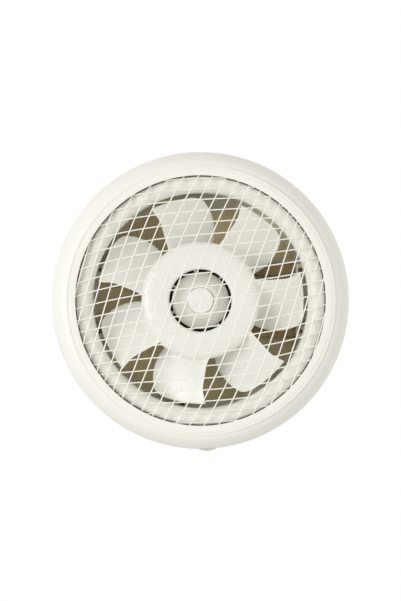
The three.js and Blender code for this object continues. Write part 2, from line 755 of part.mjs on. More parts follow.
function flapShape(top, bottom) {
  const topEdge = top - hingeBore - HINGE_BARREL_WALL / 2;
  const fromDeg = THREE.MathUtils.radToDeg(Math.asin(topEdge / flapRadius));
  const toDeg = THREE.MathUtils.radToDeg(Math.asin(bottom / flapRadius));
  const rightSide = arc([0, 0], [flapRadius, flapRadius], fromDeg, toDeg, ARC_STEPS * 3);
  const leftSide = rightSide.map(([x, z]) => [-x, z]).reverse();
  const outline = new THREE.Shape([...rightSide, ...leftSide].map(([x, z]) => new THREE.Vector2(x, z)));
  const plate = new THREE.ExtrudeGeometry(outline, { depth: FLAP_THICKNESS, bevelEnabled: false });
  plate.rotateX(Math.PI / 2).translate(0, flapFront + FLAP_THICKNESS, 0);
  const reach = sleeveReach(top);
  const sleeve = plainRing(hingeBore, hingeBarrel, -reach, reach, SMALL_SEGMENTS);
  sleeve.rotateZ(Math.PI / 2).translate(0, flapMiddle, top);
  return joined([plate, sleeve]);
}

function shutters() {
  const flaps = [
    ['top', topHinge, middleHinge + hingeBarrel + FLAP_LAP],
    ['middle', middleHinge, bottomHinge + hingeBarrel + FLAP_LAP],
    ['bottom', bottomHinge, FLAP_BOTTOM_FLAT - flapRadius],
  ];
  flaps.forEach(([name, top, bottom]) => {
    const reach = earStart(top) + HINGE_EAR_THICKNESS;
    addPart(`shutter_flap_${name}`, shapeOf(flapShape(top, bottom)), flapPlastic());
    const rod = rodX(HINGE_ROD_RADIUS, 2 * reach, flapMiddle, top, SMALL_SEGMENTS);
    addPart(`hinge_rod_${name}`, rod, brightSteel());
  });
}

// Outdoor hood and the slats across its mouth

function outdoorHood() {
  const front = frameRadius - HOOD_FRONT_INSET;
  const shell = ring([
    [front - HOOD_WALL, hoodFront],
    [frameRadius, hoodFront],
    [frameRadius, hoodFront + HOOD_FLANGE_THICKNESS],
    [front, hoodFront + HOOD_FLANGE_THICKNESS],
    [hoodBackRadius, hoodBack - HOOD_CORNER],
    [hoodBackRadius - HOOD_CORNER, hoodBack],
    [hoodMouth, hoodBack],
    [hoodMouth, hoodBack - HOOD_WALL],
    [hoodBackRadius - HOOD_CORNER - HOOD_WALL / 2, hoodBack - HOOD_WALL],
    [hoodBackRadius - HOOD_WALL, hoodBack - HOOD_CORNER - HOOD_WALL / 2],
  ], RING_SEGMENTS);
  const holes = hoodScrewPlaces().map(([x, z]) => screwHole(hoodFront, hoodFront + HOOD_FLANGE_THICKNESS, x, z));
  addPart('outdoor_hood', shapeOf(without(solid(shell), holes)), outdoorPlastic());
}

function louvreSlats() {
  const pitch = 2 * hoodMouth / SLAT_COUNT;
  const tilt = radians(SLAT_TILT_DEG);
  const depth = SLAT_WIDTH * Math.cos(tilt) + SLAT_THICKNESS * Math.sin(tilt);
  for (let i = 0; i < SLAT_COUNT; i += 1) {
    const height = (i - (SLAT_COUNT - 1) / 2) * pitch;
    const reach = hoodMouth + SLAT_OVERLAP;
    const edge = height - SLAT_WIDTH * Math.sin(tilt) / 2;
    const length = 2 * Math.sqrt(reach * reach - edge * edge);
    const slat = new THREE.BoxGeometry(length, SLAT_WIDTH, SLAT_THICKNESS).rotateX(-tilt);
    slat.translate(0, hoodBack - HOOD_WALL - SEAT_GAP - depth / 2, height);
    addPart(`louvre_slat_${i + 1}`, slat, outdoorPlastic());
  }
}

// Impeller: hub ring, eye with its ribs, dish with its boss, and the blades

function hubRing() {
  const outerRound = [HUB_RADIUS - HUB_OUTER_ROUND, HUB_FRONT + HUB_OUTER_ROUND];
  const innerRound = [HUB_EYE_RADIUS + HUB_INNER_ROUND, HUB_FRONT + HUB_INNER_ROUND];
  const outerInside = HUB_OUTER_ROUND - HUB_WALL;
  const innerInside = HUB_INNER_ROUND - HUB_WALL;
  return ring([
    [HUB_EYE_RADIUS, HUB_FRONT + HUB_EYE_DEPTH],
    ...arc(innerRound, [HUB_INNER_ROUND, HUB_INNER_ROUND], 180, 270, ARC_STEPS),
    ...arc(outerRound, [HUB_OUTER_ROUND, HUB_OUTER_ROUND], 270, 360, ARC_STEPS + 1),
    [HUB_RADIUS, HUB_BACK],
    [HUB_RADIUS - HUB_WALL, HUB_BACK],
    ...arc(outerRound, [outerInside, outerInside], 360, 270, ARC_STEPS),
    ...arc(innerRound, [innerInside, innerInside], 270, 180, 1),
    [HUB_EYE_RADIUS + HUB_WALL, HUB_FRONT + HUB_EYE_DEPTH],
  ], HUB_SEGMENTS);
}

function hubDish() {
  const nutWell = NUT_RADIUS + SEAT_GAP;
  const bore = SHAFT_RADIUS + SEAT_GAP;
  const rimFrontY = dishFront + DISH_RISE;
  const slope = arc([nutWell, rimFrontY], [dishRadius - nutWell, DISH_RISE], 270, 360, ARC_STEPS + 1);
  const underRim = dishRadius - HUB_WALL;
  return ring([
    [bore, BOSS_BACK],
    [bore, nutSeat],
    [nutWell, nutSeat],
    ...slope,
    [dishRadius, rimFrontY + DISH_RIM_DEPTH],
    [underRim, rimFrontY + DISH_RIM_DEPTH],
    [underRim, rimFrontY + DISH_THICKNESS],
    [BOSS_RADIUS, nutSeat + DISH_THICKNESS],
    [BOSS_RADIUS, BOSS_BACK],
  ], HUB_SEGMENTS);
}

function eyeRibs() {
  const inner = dishRadius - HUB_WALL / 2;
  const outer = HUB_EYE_RADIUS + HUB_WALL / 2;
  const front = dishFront + DISH_RISE + EYE_RIB_SINK;
  return Array.from({ length: BLADE_COUNT }, (_, i) => {
    const rib = block(
      [EYE_RIB_WIDTH, EYE_RIB_HEIGHT, outer - inner],
      [0, front + EYE_RIB_HEIGHT / 2, (outer + inner) / 2],
    );
    return turned(rib, FIRST_EYE_RIB_DEG + i * 360 / BLADE_COUNT);
  });
}

// Outline of a blade from root to tip: shares of the blade's height, then the angles of its two edges
const STATION_SHARES = [0, 0.18, 0.42, 0.66, 0.85, 0.965, 1];
const LEADING_DEG = [-4.8, -2.2, -0.2, 1.2, 0.7, 0.2, 0];
const TRAILING_DEG = [40.5, 40.2, 38.6, 35.5, 32, 28.7, 24];

function bladeShape(startDeg) {
  const root = HUB_RADIUS - HUB_WALL / 2;
  const rings = STATION_SHARES.map((share, station) => {
    const radius = root + (impellerRadius - root) * share;
    const front = [];
    const back = [];
    for (let i = 0; i <= BLADE_CHORD_STEPS; i += 1) {
      const chord = i / BLADE_CHORD_STEPS;
      const span = TRAILING_DEG[station] - LEADING_DEG[station];
      const [x, z] = onCircle(radius, startDeg + LEADING_DEG[station] + span * chord);
      const bulge = 4 * chord * (1 - chord);
      const depth = (BLADE_BACK - BLADE_FRONT) * (LEADING_DEG[station] + span * chord) / TRAILING_DEG[0];
      const y = BLADE_FRONT + depth + BLADE_CAMBER * bulge;
      const half = BLADE_THICKNESS / 2 * (BLADE_EDGE_SHARE + (1 - BLADE_EDGE_SHARE) * bulge);
      front.push(new THREE.Vector3(x, y - half, z));
      back.unshift(new THREE.Vector3(x, y + half, z));
    }
    return [...front, ...back];
  });
  return skin(rings);
}

function impeller() {
  const blades = Array.from({ length: BLADE_COUNT }, (_, i) => bladeShape(FIRST_BLADE_DEG + i * 360 / BLADE_COUNT));
  const body = joined([hubRing(), hubDish(), ...eyeRibs(), ...blades]);
  addPart('impeller', shapeOf(body), impellerPlastic());
}

function spinnerNut() {
  const back = nutSeat - SEAT_GAP;
  const front = back - NUT_THICKNESS;
  const bore = SHAFT_RADIUS + SEAT_GAP;
  const nut = lathe([
    [0, front],
    [NUT_RADIUS - NUT_CROWN, front],
    [NUT_RADIUS, front + NUT_CROWN],
    [NUT_RADIUS, back],
    [bore, back],
    [bore, shaftFront - SEAT_GAP],
    [0, shaftFront - SEAT_GAP],
  ], MOTOR_SEGMENTS);
  addPart('spinner_nut', nut, dishPlastic());
}

// Motor

function drivePinPlace() {
  return BOSS_BACK + DRIVE_PIN_RADIUS + SEAT_GAP;
}

function motorShaft() {
  const back = motorBack - MOTOR_WALL - SEAT_GAP;
  const rod = rodY(SHAFT_RADIUS, shaftFront, back, 0, 0, MOTOR_SEGMENTS);
  const hole = rodX(DRIVE_PIN_RADIUS + SEAT_GAP, DRIVE_PIN_LENGTH, drivePinPlace(), 0, SMALL_SEGMENTS);
  addPart('motor_shaft', shapeOf(without(solid(rod), [hole])), brightSteel());
  const pin = rodX(DRIVE_PIN_RADIUS, DRIVE_PIN_LENGTH, drivePinPlace(), 0, SMALL_SEGMENTS);
  addPart('drive_pin', pin, brightSteel());
}

function motorShells() {
  const housingInner = BEARING_RADIUS + SEAT_GAP;
  const housingOuter = housingInner + BEARING_HOUSING_WALL;
  const inner = MOTOR_RADIUS - MOTOR_WALL;
  const plate = MOTOR_FRONT + MOTOR_WALL;
  const frontShell = ring([
    [SHAFT_HOLE_RADIUS, MOTOR_FRONT],
    [MOTOR_RADIUS - MOTOR_ROUND, MOTOR_FRONT],
    [MOTOR_RADIUS, MOTOR_FRONT + MOTOR_ROUND],
    [MOTOR_RADIUS, motorSplit],
    [inner, motorSplit],
    [inner, plate],
    [housingOuter, plate],
    [housingOuter, plate + BEARING_LENGTH],
    [housingInner, plate + BEARING_LENGTH],
    [housingInner, plate],
    [SHAFT_HOLE_RADIUS, plate],
  ], MOTOR_SEGMENTS);
  const backPlate = motorBack - MOTOR_WALL;
  const rearShell = lathe([
    [0, backPlate],
    [housingInner, backPlate],
    [housingInner, backPlate - BEARING_LENGTH],
    [housingOuter, backPlate - BEARING_LENGTH],
    [housingOuter, backPlate],
    [inner, backPlate],
    [inner, motorSplit + SEAT_GAP],
    [MOTOR_RADIUS, motorSplit + SEAT_GAP],
    [MOTOR_RADIUS, motorBack - MOTOR_ROUND],
    [MOTOR_RADIUS - MOTOR_ROUND, motorBack],
    [0, motorBack],
  ], MOTOR_SEGMENTS);
  const holes = motorScrewPlaces().map(([x, z]) => screwHole(backPlate, motorBack, x, z));
  addPart('motor_front_shell', frontShell, motorPaint());
  addPart('motor_rear_shell', shapeOf(without(solid(rearShell), holes)), motorPaint());
}

function bearings() {
  const bore = SHAFT_RADIUS + SEAT_GAP;
  const front = MOTOR_FRONT + MOTOR_WALL + SEAT_GAP;
  const back = motorBack - MOTOR_WALL - SEAT_GAP;
  const frontRing = plainRing(bore, BEARING_RADIUS, front, front + BEARING_LENGTH, MOTOR_SEGMENTS);
  const rearRing = plainRing(bore, BEARING_RADIUS, back - BEARING_LENGTH, back, MOTOR_SEGMENTS);
  addPart('front_bearing', frontRing, brightSteel());
  addPart('rear_bearing', rearRing, brightSteel());
}

function motorCores() {
  const coreBack = CORE_FRONT + CORE_LENGTH;
  const stator = plainRing(statorInner, statorOuter, CORE_FRONT, coreBack, MOTOR_SEGMENTS);
  const rotor = plainRing(SHAFT_RADIUS + SEAT_GAP, rotorRadius, CORE_FRONT, coreBack, MOTOR_SEGMENTS);
  addPart('stator_core', stator, laminatedSteel());
  addPart('rotor_core', rotor, laminatedSteel());
  const inner = (statorInner + statorOuter - WINDING_DEPTH) / 2;
  const frontWinding = windingRing(inner, CORE_FRONT - SEAT_GAP - WINDING_HEIGHT);
  const rearWinding = windingRing(inner, coreBack + SEAT_GAP);
  addPart('front_winding', frontWinding, windingEnamel());
  addPart('rear_winding', rearWinding, windingEnamel());
}

function windingRing(inner, front) {
  const outer = inner + WINDING_DEPTH;
  const back = front + WINDING_HEIGHT;
  return ring([
    [inner, front + WINDING_ROUND],
    [inner + WINDING_ROUND, front],
    [outer - WINDING_ROUND, front],
    [outer, front + WINDING_ROUND],
    [outer, back],
    [inner, back],
  ], MOTOR_SEGMENTS);
}

// Rails that carry the motor, and all screws

function motorScrewPlaces() {
  const x = MOTOR_SCREW_PLACE;
  return [[-x, railCentre], [x, railCentre], [-x, -railCentre], [x, -railCentre]];
}

function bracketRails() {
  const places = [...railPlaces().corners, ...motorScrewPlaces()];
  const names = [['upper', 1], ['lower', -1]];
  names.forEach(([name, side]) => {
    const size = [2 * railPlaces().reach, RAIL_THICKNESS, RAIL_HEIGHT];
    const bar = block(size, [0, (railFront + railBack) / 2, side * railCentre]);
    const holes = places.filter(([, z]) => z * side > 0).map(([x, z]) => screwHole(railFront, railBack, x, z));
    addPart(`motor_rail_${name}`, shapeOf(without(solid(bar), holes)), zincPlate());
  });
}

function screws() {
  railPlaces().corners.forEach(([x, z], i) => {
    const shape = screwShape(railBack + SEAT_GAP, 1, RAIL_THICKNESS + SCREW_GRIP, x, z);
    addPart(`rail_screw_${i + 1}`, shape, brightSteel());
  });
  motorScrewPlaces().forEach(([x, z], i) => {
    const shape = screwShape(railBack + SEAT_GAP, 1, RAIL_THICKNESS + MOTOR_WALL + 2 * SEAT_GAP, x, z);
    addPart(`motor_screw_${i + 1}`, shape, brightSteel());
  });
  clampPlaces().forEach(([x, z], i) => {
    const shape = screwShape(frameFront - SEAT_GAP, -1, CLAMP_SCREW_LENGTH, x, z);
    addPart(`clamp_screw_${i + 1}`, shape, brightSteel());
  });
  hoodScrewPlaces().forEach(([x, z], i) => {
    const seat = hoodFront + HOOD_FLANGE_THICKNESS + SEAT_GAP;
    const shape = screwShape(seat, 1, HOOD_FLANGE_THICKNESS + FLANGE_THICKNESS, x, z);
    addPart(`hood_screw_${i + 1}`, shape, brightSteel());
  });
}

// Mains parts in the space behind the bezel

function boxBehindBezel(length, depth, height, degrees) {
  const inner = rimOuter + BEZEL_WALL + 2 * SEAT_GAP;
  const middle = [0, frameFront - SEAT_GAP - height / 2, inner + depth / 2];
  return turned(block([length, height, depth], middle), degrees);
}

function mainsParts() {
  const terminal = boxBehindBezel(TERMINAL_LENGTH, TERMINAL_DEPTH, TERMINAL_HEIGHT, LEAD_DEG);
  const capacitor = boxBehindBezel(CAPACITOR_LENGTH, CAPACITOR_DEPTH, CAPACITOR_HEIGHT, CAPACITOR_DEG);
  addPart('terminal_box', terminal, casePlastic());
  addPart('capacitor', capacitor, leadSheath());
  addPart('motor_lead', tube(leadPath(), LEAD_RADIUS), leadSheath());
  const length = INLET_HEIGHT * 3;
  const bore = new THREE.CylinderGeometry(INLET_BORE_RADIUS, INLET_BORE_RADIUS, length, SMALL_SEGMENTS);
  turned(bore.rotateX(Math.PI / 2).translate(0, inletMiddle, BEZEL_RADIUS), INLET_DEG);
  addPart('cord_inlet', shapeOf(without(solid(inletBody(0)), [bore])), inletPlastic());
}

frontBezel();
wireGuard();
orificeRing();
indoorFrame();
gaskets();
outdoorFrame();
shutters();
outdoorHood();
louvreSlats();
impeller();
spinnerNut();
motorShaft();
motorShells();
bearings();
motorCores();
bracketRails();
screws();
mainsParts();

export default group;
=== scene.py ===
"""Axial window fan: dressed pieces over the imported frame, with its studio."""

import logging
import math
from dataclasses import KW_ONLY, dataclass, field
from enum import Enum
from functools import cache
from typing import Any, Iterable, Sequence

import bmesh
import bpy
from mathutils import Matrix, Vector


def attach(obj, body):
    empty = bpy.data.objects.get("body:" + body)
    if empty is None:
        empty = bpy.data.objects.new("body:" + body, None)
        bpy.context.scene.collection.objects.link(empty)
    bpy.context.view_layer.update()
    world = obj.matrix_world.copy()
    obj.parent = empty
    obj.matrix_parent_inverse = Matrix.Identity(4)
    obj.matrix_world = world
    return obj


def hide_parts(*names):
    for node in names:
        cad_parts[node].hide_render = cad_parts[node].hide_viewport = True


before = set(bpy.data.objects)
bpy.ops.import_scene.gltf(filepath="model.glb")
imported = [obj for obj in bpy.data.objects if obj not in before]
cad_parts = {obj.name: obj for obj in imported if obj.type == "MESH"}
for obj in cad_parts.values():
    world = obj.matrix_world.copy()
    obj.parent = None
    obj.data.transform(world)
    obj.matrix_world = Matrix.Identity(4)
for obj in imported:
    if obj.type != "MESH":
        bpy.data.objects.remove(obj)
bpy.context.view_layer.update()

logging.basicConfig(level=logging.INFO, format="%(message)s")
LOG = logging.getLogger("scene")

MM = 0.001
SEGMENTS = 192
# How far a cutter reaches past what it cuts
PAST = 1.0
# Rounding leaves alone what turns less than this, and the middle of each edge
LEAST_TURN = math.radians(20)
MOST_REACH = 0.45

Profile = list[tuple[float, float]]
Outline = tuple[tuple[float, float], ...]
Triple = tuple[float, float, float]
Color = Triple


class Join(Enum):
    """How one shape meets another."""

    UNION = "UNION"
    DIFFERENCE = "DIFFERENCE"


class Body(Enum):
    """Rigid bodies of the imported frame."""

    CASING = "casing"
    ROTOR = "rotor"
    FLAP_TOP = "flap_top"
    FLAP_MIDDLE = "flap_middle"
    FLAP_BOTTOM = "flap_bottom"


# Shapes in millimetres. The impeller turns about Y, and the room is at -Y.


@dataclass
class Shape:
    """Points in millimetres with the faces and loose edges between them."""

    points: list[Vector]
    faces: list[tuple[int, ...]] = field(default_factory=list)
    edges: list[tuple[int, int]] = field(default_factory=list)

    def changed(self, matrix: Matrix) -> "Shape":
        """Move the shape."""
        return Shape([matrix @ p for p in self.points], self.faces, self.edges)

    def moved(self, x: float = 0, y: float = 0, z: float = 0) -> "Shape":
        """Shift the shape."""
        return self.changed(Matrix.Translation((x, y, z)))

    def turned(self, degrees: float) -> "Shape":
        """Turn the shape about the fan's axis."""
        return self.changed(Matrix.Rotation(math.radians(degrees), 4, "Y"))

    def flipped(self) -> "Shape":
        """Turn the shape half round about X."""
        return self.changed(Matrix.Rotation(math.pi, 4, "X"))

    def along_x(self) -> "Shape":
        """Lay an axis that runs along Y along X."""
        return self.changed(Matrix.Rotation(-math.pi / 2, 4, "Z"))

    def along_z(self) -> "Shape":
        """Lay an axis that runs along Y along Z."""
        return self.changed(Matrix.Rotation(math.pi / 2, 4, "X"))

    def cut_by(self, *others: "Shape") -> "Shape":
        """Cut other shapes out of this one."""
        return combined(self, together(*others), Join.DIFFERENCE)

    def fused_with(self, *others: "Shape") -> "Shape":
        """Join other shapes to this one as one skin."""
        return combined(self, together(*others), Join.UNION)


def together(*shapes: Shape) -> Shape:
    """Gather shapes into one list of points and faces.

    Args:
        shapes: The shapes to gather.

    Returns:
        One shape of separate shells.
    """
    points: list[Vector] = []
    faces: list[tuple[int, ...]] = []
    edges: list[tuple[int, int]] = []
    for shape in shapes:
        start = len(points)
        points.extend(shape.points)
        faces.extend(tuple(start + i for i in face) for face in shape.faces)
        edges.extend((start + a, start + b) for a, b in shape.edges)
    return Shape(points, faces, edges)


def placed(shape: Shape, name: str) -> bpy.types.Object:
    """Make an object from a shape.

    Args:
        shape: The shape in millimetres.
        name: The object's name.

    Returns:
        The object, at the origin, with its faces outward.
    """
    mesh = bpy.data.meshes.new(name)
    mesh.from_pydata([p * MM for p in shape.points], shape.edges, shape.faces)
    if shape.faces:
        work = bmesh.new()
        work.from_mesh(mesh)
        bmesh.ops.recalc_face_normals(work, faces=work.faces)
        work.to_mesh(mesh)
        work.free()
    obj = bpy.data.objects.new(name, mesh)
    bpy.context.scene.collection.objects.link(obj)
    return obj


def lifted(obj: bpy.types.Object) -> Shape:
    """Read an object with its modifiers back as a shape, and remove it.

    Args:
        obj: The object.

    Returns:
        Its evaluated shape in millimetres.
    """
    seen = obj.evaluated_get(bpy.context.evaluated_depsgraph_get())
    mesh = bpy.data.meshes.new_from_object(seen)
    points = [v.co / MM for v in mesh.vertices]
    faces = [tuple(p.vertices) for p in mesh.polygons]
    bpy.data.objects.remove(obj, do_unlink=True)
    bpy.data.meshes.remove(mesh)
    return Shape(points, faces)


def combined(base: Shape, tool: Shape, how: Join) -> Shape:
    """Join or cut two closed shapes.

    Args:
        base: The shape that is kept.
        tool: The shape that is added or taken away.
        how: Whether to join or to cut.

    Returns:
        The result.
    """
    main_object = placed(base, "base")
    tool_object = placed(tool, "tool")
    step = main_object.modifiers.new("join", "BOOLEAN")
    step.operation = how.value
    step.solver = "EXACT"
    step.object = tool_object
    result = lifted(main_object)
    bpy.data.objects.remove(tool_object, do_unlink=True)
    return result


def revolve(profile: Profile, segments: int = SEGMENTS, closed: bool = True) -> Shape:
    """Spin a profile about the fan's axis.

    Args:
        profile: Points (radius, y).
        segments: Steps round the axis.
        closed: Whether the last point joins the first.

    Returns:
        The spun shape.
    """
    points: list[Vector] = []
    rows: list[list[int]] = []
    for radius, y in profile:
        start = len(points)
        if radius < 1e-6:
            points.append(Vector((0, y, 0)))
            rows.append([start] * segments)
            continue
        for j in range(segments):
            angle = 2 * math.pi * j / segments
            points.append(Vector((radius * math.sin(angle), y, radius * math.cos(angle))))
        rows.append(list(range(start, start + segments)))
    faces = []
    for i in range(len(profile) if closed else len(profile) - 1):
        near, far = rows[i], rows[(i + 1) % len(profile)]
        for j in range(segments):
            k = (j + 1) % segments
            corners = tuple(dict.fromkeys((near[j], near[k], far[k], far[j])))
            if len(corners) > 2:
                faces.append(corners)
    return Shape(points, faces)


def bend(start: Vector, corner: Vector, end: Vector, steps: int) -> list[Vector]:
    """Points of a smooth bend that is drawn toward a corner."""
    shares = [step / steps for step in range(steps + 1)]
    return [start * (1 - t) ** 2 + corner * (2 * t * (1 - t)) + end * t * t for t in shares]


def shifted(profile: Iterable[tuple[float, float]], radius: float, y: float) -> Profile:
    """Move a profile."""
    return [(r + radius, h + y) for r, h in profile]


def rounded(profile: Profile, radius: float, steps: int = 4, closed: bool = True) -> Profile:
    """Round the corners of a profile.

    Args:
        profile: Points (radius, y).
        radius: How far each rounding reaches along the edges.
        steps: Steps in each rounding.
        closed: Whether the last point joins the first.

    Returns:
        The rounded profile.
    """
    result: Profile = []
    count = len(profile)
    for i, corner in enumerate(profile):
        here = Vector(corner)
        before = Vector(profile[i - 1]) - here
        after = Vector(profile[(i + 1) % count]) - here
        turn = math.pi - before.angle(after, math.pi)
        if turn < LEAST_TURN or (not closed and i in (0, count - 1)):
            result.append(corner)
            continue
        reach = min(radius, before.length * MOST_REACH, after.length * MOST_REACH)
        start = here + before.normalized() * reach
        end = here + after.normalized() * reach
        result += [(p.x, p.y) for p in bend(start, here, end, steps)]
    return result


def bulged(value: float, power: float) -> float:
    """Raise a value to a power and keep its sign."""
    return math.copysign(abs(value) ** power, value)


def arc(
    centre: tuple[float, float],
    radii: tuple[float, float],
    start: float,
    end: float,
    steps: int,
    power: float = 1,
) -> Profile:
    """Points of an elliptical arc, or of a fuller or flatter one.

    Args:
        centre: The middle.
        radii: Half widths along the two directions.
        start: First angle in degrees.
        end: Last angle in degrees.
        steps: Steps along the arc.
        power: 1 for an ellipse, less for a fuller curve and more for a flatter one.

    Returns:
        The points, both ends included.
    """
    points: Profile = []
    for i in range(steps + 1):
        angle = math.radians(start + (end - start) * i / steps)
        across, along = bulged(math.cos(angle), power), bulged(math.sin(angle), power)
        points.append((centre[0] + radii[0] * across, centre[1] + radii[1] * along))
    return points


def on_circle(radius: float, degrees: float) -> tuple[float, float]:
    """A place on a circle round the axis."""
    angle = math.radians(degrees)
    return radius * math.sin(angle), radius * math.cos(angle)


def bevelled(shape: Shape, radius: float, steps: int = 3, angle: float = 40) -> Shape:
    """Round the sharp edges of a shape.

    Args:
        shape: The shape.
        radius: Width of the rounding.
        steps: Steps in the rounding.
        angle: Least angle between faces that counts as sharp, in degrees.

    Returns:
        The rounded shape.
    """
    obj = placed(shape, "bevelled")
    step = obj.modifiers.new("round", "BEVEL")
    step.width = radius * MM
    step.segments = steps
    step.limit_method = "ANGLE"
    step.angle_limit = math.radians(angle)
    return lifted(obj)


def block(size: Sequence[float], centre: Sequence[float], radius: float = 0.5) -> Shape:
    """A box with rounded edges.

    Args:
        size: Lengths along X, Y and Z.
        centre: The middle.
        radius: Width of the rounding, or 0 for none.

    Returns:
        The box.
    """
    x, y, z = (s / 2 for s in size)
    points = [Vector((a * x, b * y, c * z)) for a in (-1, 1) for b in (-1, 1) for c in (-1, 1)]
    faces = [(0, 1, 3, 2), (4, 6, 7, 5), (0, 4, 5, 1), (2, 3, 7, 6), (0, 2, 6, 4), (1, 5, 7, 3)]
    box = Shape(points, faces)
    if radius:
        box = bevelled(box, radius)
    return box.moved(*centre)


def prism(outline: Sequence[tuple[float, float]], front: float, back: float) -> Shape:
    """A flat plate square to the axis.

    Args:
        outline: Corners (x, z).
        front: Its face toward the room.
        back: Its face toward the open air.

    Returns:
        The plate.
    """
    count = len(outline)
    points = [Vector((x, front, z)) for x, z in outline] + [Vector((x, back, z)) for x, z in outline]
    faces: list[tuple[int, ...]] = [tuple(range(count)), tuple(reversed(range(count, 2 * count)))]
    faces += [(i, (i + 1) % count, count + (i + 1) % count, count + i) for i in range(count)]
    return Shape(points, faces)


def rod(radius: float, front: float, back: float, edge: float = 0.4, segments: int = 32) -> Shape:
    """A round bar along the axis with rounded ends."""
    profile = rounded([(0, front), (radius, front), (radius, back), (0, back)], edge, closed=False)
    return revolve(profile, segments, closed=False)


def plain_ring(inner: float, outer: float, front: float, back: float, edge: float = 0.4) -> Shape:
    """A ring of rectangular section with rounded edges."""
    return revolve(rounded([(inner, front), (outer, front), (outer, back), (inner, back)], edge))


# Node trees


def spaced(name: str) -> str:
    """A socket's name from a keyword."""
    return name.replace("_", " ")


def socket_type(value: Any) -> str:
    """The socket type that fits a value.

    Args:
        value: A first value, or a type's short name.

    Returns:
        The type's full name.
    """
    if isinstance(value, str):
        return f"NodeSocket{value}"
    if isinstance(value, tuple):
        return "NodeSocketColor" if len(value) == 4 else "NodeSocketVector"
    return "NodeSocketInt" if isinstance(value, int) else "NodeSocketFloat"


class NodeTree:
    """A node tree with short ways to add sockets, nodes and links."""

    def __init__(self, tree: bpy.types.NodeTree) -> None:
        """Start from a tree.

        Args:
            tree: The tree to fill.
        """
        self.tree = tree
        self.source: Any = None
        self.target: Any = None

    @classmethod
    def group(
        cls, name: str, gives: dict[str, str], kind: str = "ShaderNodeTree", **takes: Any
    ) -> "NodeTree":
        """Make a group with its input and output nodes.

        Args:
            name: The group's name.
            gives: Short names of socket types by output name.
            kind: ShaderNodeTree or GeometryNodeTree.
            takes: First values, or short names of types, by input name with underscores for spaces.

        Returns:
            The new tree.
        """
        made = cls(bpy.data.node_groups.new(name, kind))
        made.source = made.tree.nodes.new("NodeGroupInput")
        made.target = made.tree.nodes.new("NodeGroupOutput")
        new_socket = made.tree.interface.new_socket
        for title, value in takes.items():
            socket = new_socket(spaced(title), in_out="INPUT", socket_type=socket_type(value))
            if not isinstance(value, str):
                socket.default_value = value
        for title, short in gives.items():
            new_socket(title, in_out="OUTPUT", socket_type=socket_type(short))
        return made

    def add(self, kind: str, inputs: dict[Any, Any] | None = None, **settings: Any) -> Any:
        """Add a node.

        Args:
            kind: The node's type.
            inputs: Values or sockets by input name or number.
            settings: Attributes of the node.

        Returns:
            The node.
        """
        node = self.tree.nodes.new(kind)
        for name, value in settings.items():
            setattr(node, name, value)
        for name, value in (inputs or {}).items():
            if isinstance(value, bpy.types.NodeSocket):
                self.tree.links.new(value, node.inputs[name])
            else:
                node.inputs[name].default_value = value
        return node

    def math(self, operation: str, first: Any, second: Any = 0.0) -> Any:
        """Add a sum."""
        return self.add("ShaderNodeMath", {0: first, 1: second}, operation=operation).outputs[0]

    def place(self) -> Any:
        """Add the place on the piece."""
        return self.add("ShaderNodeTexCoord").outputs["Object"]

    def noise(self, place: Any, scale: Any, detail: float) -> Any:
        """Add noise."""
        inputs = {"Vector": place, "Scale": scale, "Detail": detail}
        return self.add("ShaderNodeTexNoise", inputs).outputs[0]

    def distance(self, place: Any, share: Any) -> Any:
        """Add how far a place is from the middle, with a share of each direction."""
        kept = self.add("ShaderNodeVectorMath", {0: place, 1: share}, operation="MULTIPLY").outputs[0]
        return self.add("ShaderNodeVectorMath", {0: kept}, operation="LENGTH").outputs["Value"]

    def shaded(self, color: Any, shade: Any) -> Any:
        """Add a change of shade."""
        inputs = {0: color, "Scale": shade}
        return self.add("ShaderNodeVectorMath", inputs, operation="SCALE").outputs[0]

    def mixed(self, share: Any, first: Any, second: Any) -> Any:
        """Add a mix of two colours."""
        return self.add("ShaderNodeMix", {0: share, 6: first, 7: second}, data_type="RGBA").outputs[2]

    def effect(self, group: bpy.types.NodeTree, **values: Any) -> Any:
        """Add a shader group.

        Args:
            group: The group.
            values: Values by input name, with underscores for spaces.

        Returns:
            The group's node.
        """
        inputs = {spaced(name): value for name, value in values.items()}
        return self.add("ShaderNodeGroup", inputs, node_tree=group)

    def close(self, **results: Any) -> bpy.types.NodeTree:
        """Link the group's outputs.

        Args:
            results: Sockets by output name.

        Returns:
            The finished tree.
        """
        for name, socket in results.items():
            self.tree.links.new(socket, self.target.inputs[name])
        return self.tree


# Geometry node trees


def start_tree(name: str, **takes: Any) -> NodeTree:
    """Start a geometry tree.

    Args:
        name: Its name.
        takes: First values by input name, with underscores for spaces.

    Returns:
        The tree with its geometry and material sockets.
    """
    fixed = {"Geometry": "Geometry", "Material": "Material"}
    return NodeTree.group(name, {"Geometry": "Geometry"}, "GeometryNodeTree", **fixed, **takes)


def finish_tree(tree: NodeTree, geometry: Any) -> bpy.types.NodeTree:
    """End a geometry tree with Realize Instances and Set Material.

    Args:
        tree: The tree.
        geometry: The geometry's socket.

    Returns:
        The finished tree.
    """
    real = tree.add("GeometryNodeRealizeInstances", {"Geometry": geometry})
    last = tree.add(
        "GeometryNodeSetMaterial",
        {"Geometry": real.outputs["Geometry"], "Material": tree.source.outputs["Material"]},
    )
    return tree.close(Geometry=last.outputs["Geometry"])


def copied(tree: NodeTree, points: dict[str, Any], **turned: Any) -> bpy.types.NodeTree:
    """End a geometry tree with copies of its shape on points.

    Args:
        tree: The tree.
        points: Inputs of the points.
        turned: Rotation or scale of the copies.

    Returns:
        The finished tree.
    """
    places = tree.add("GeometryNodePoints", points).outputs[0]
    inputs = {"Points": places, "Instance": tree.source.outputs["Geometry"], **turned}
    return finish_tree(tree, tree.add("GeometryNodeInstanceOnPoints", inputs).outputs[0])


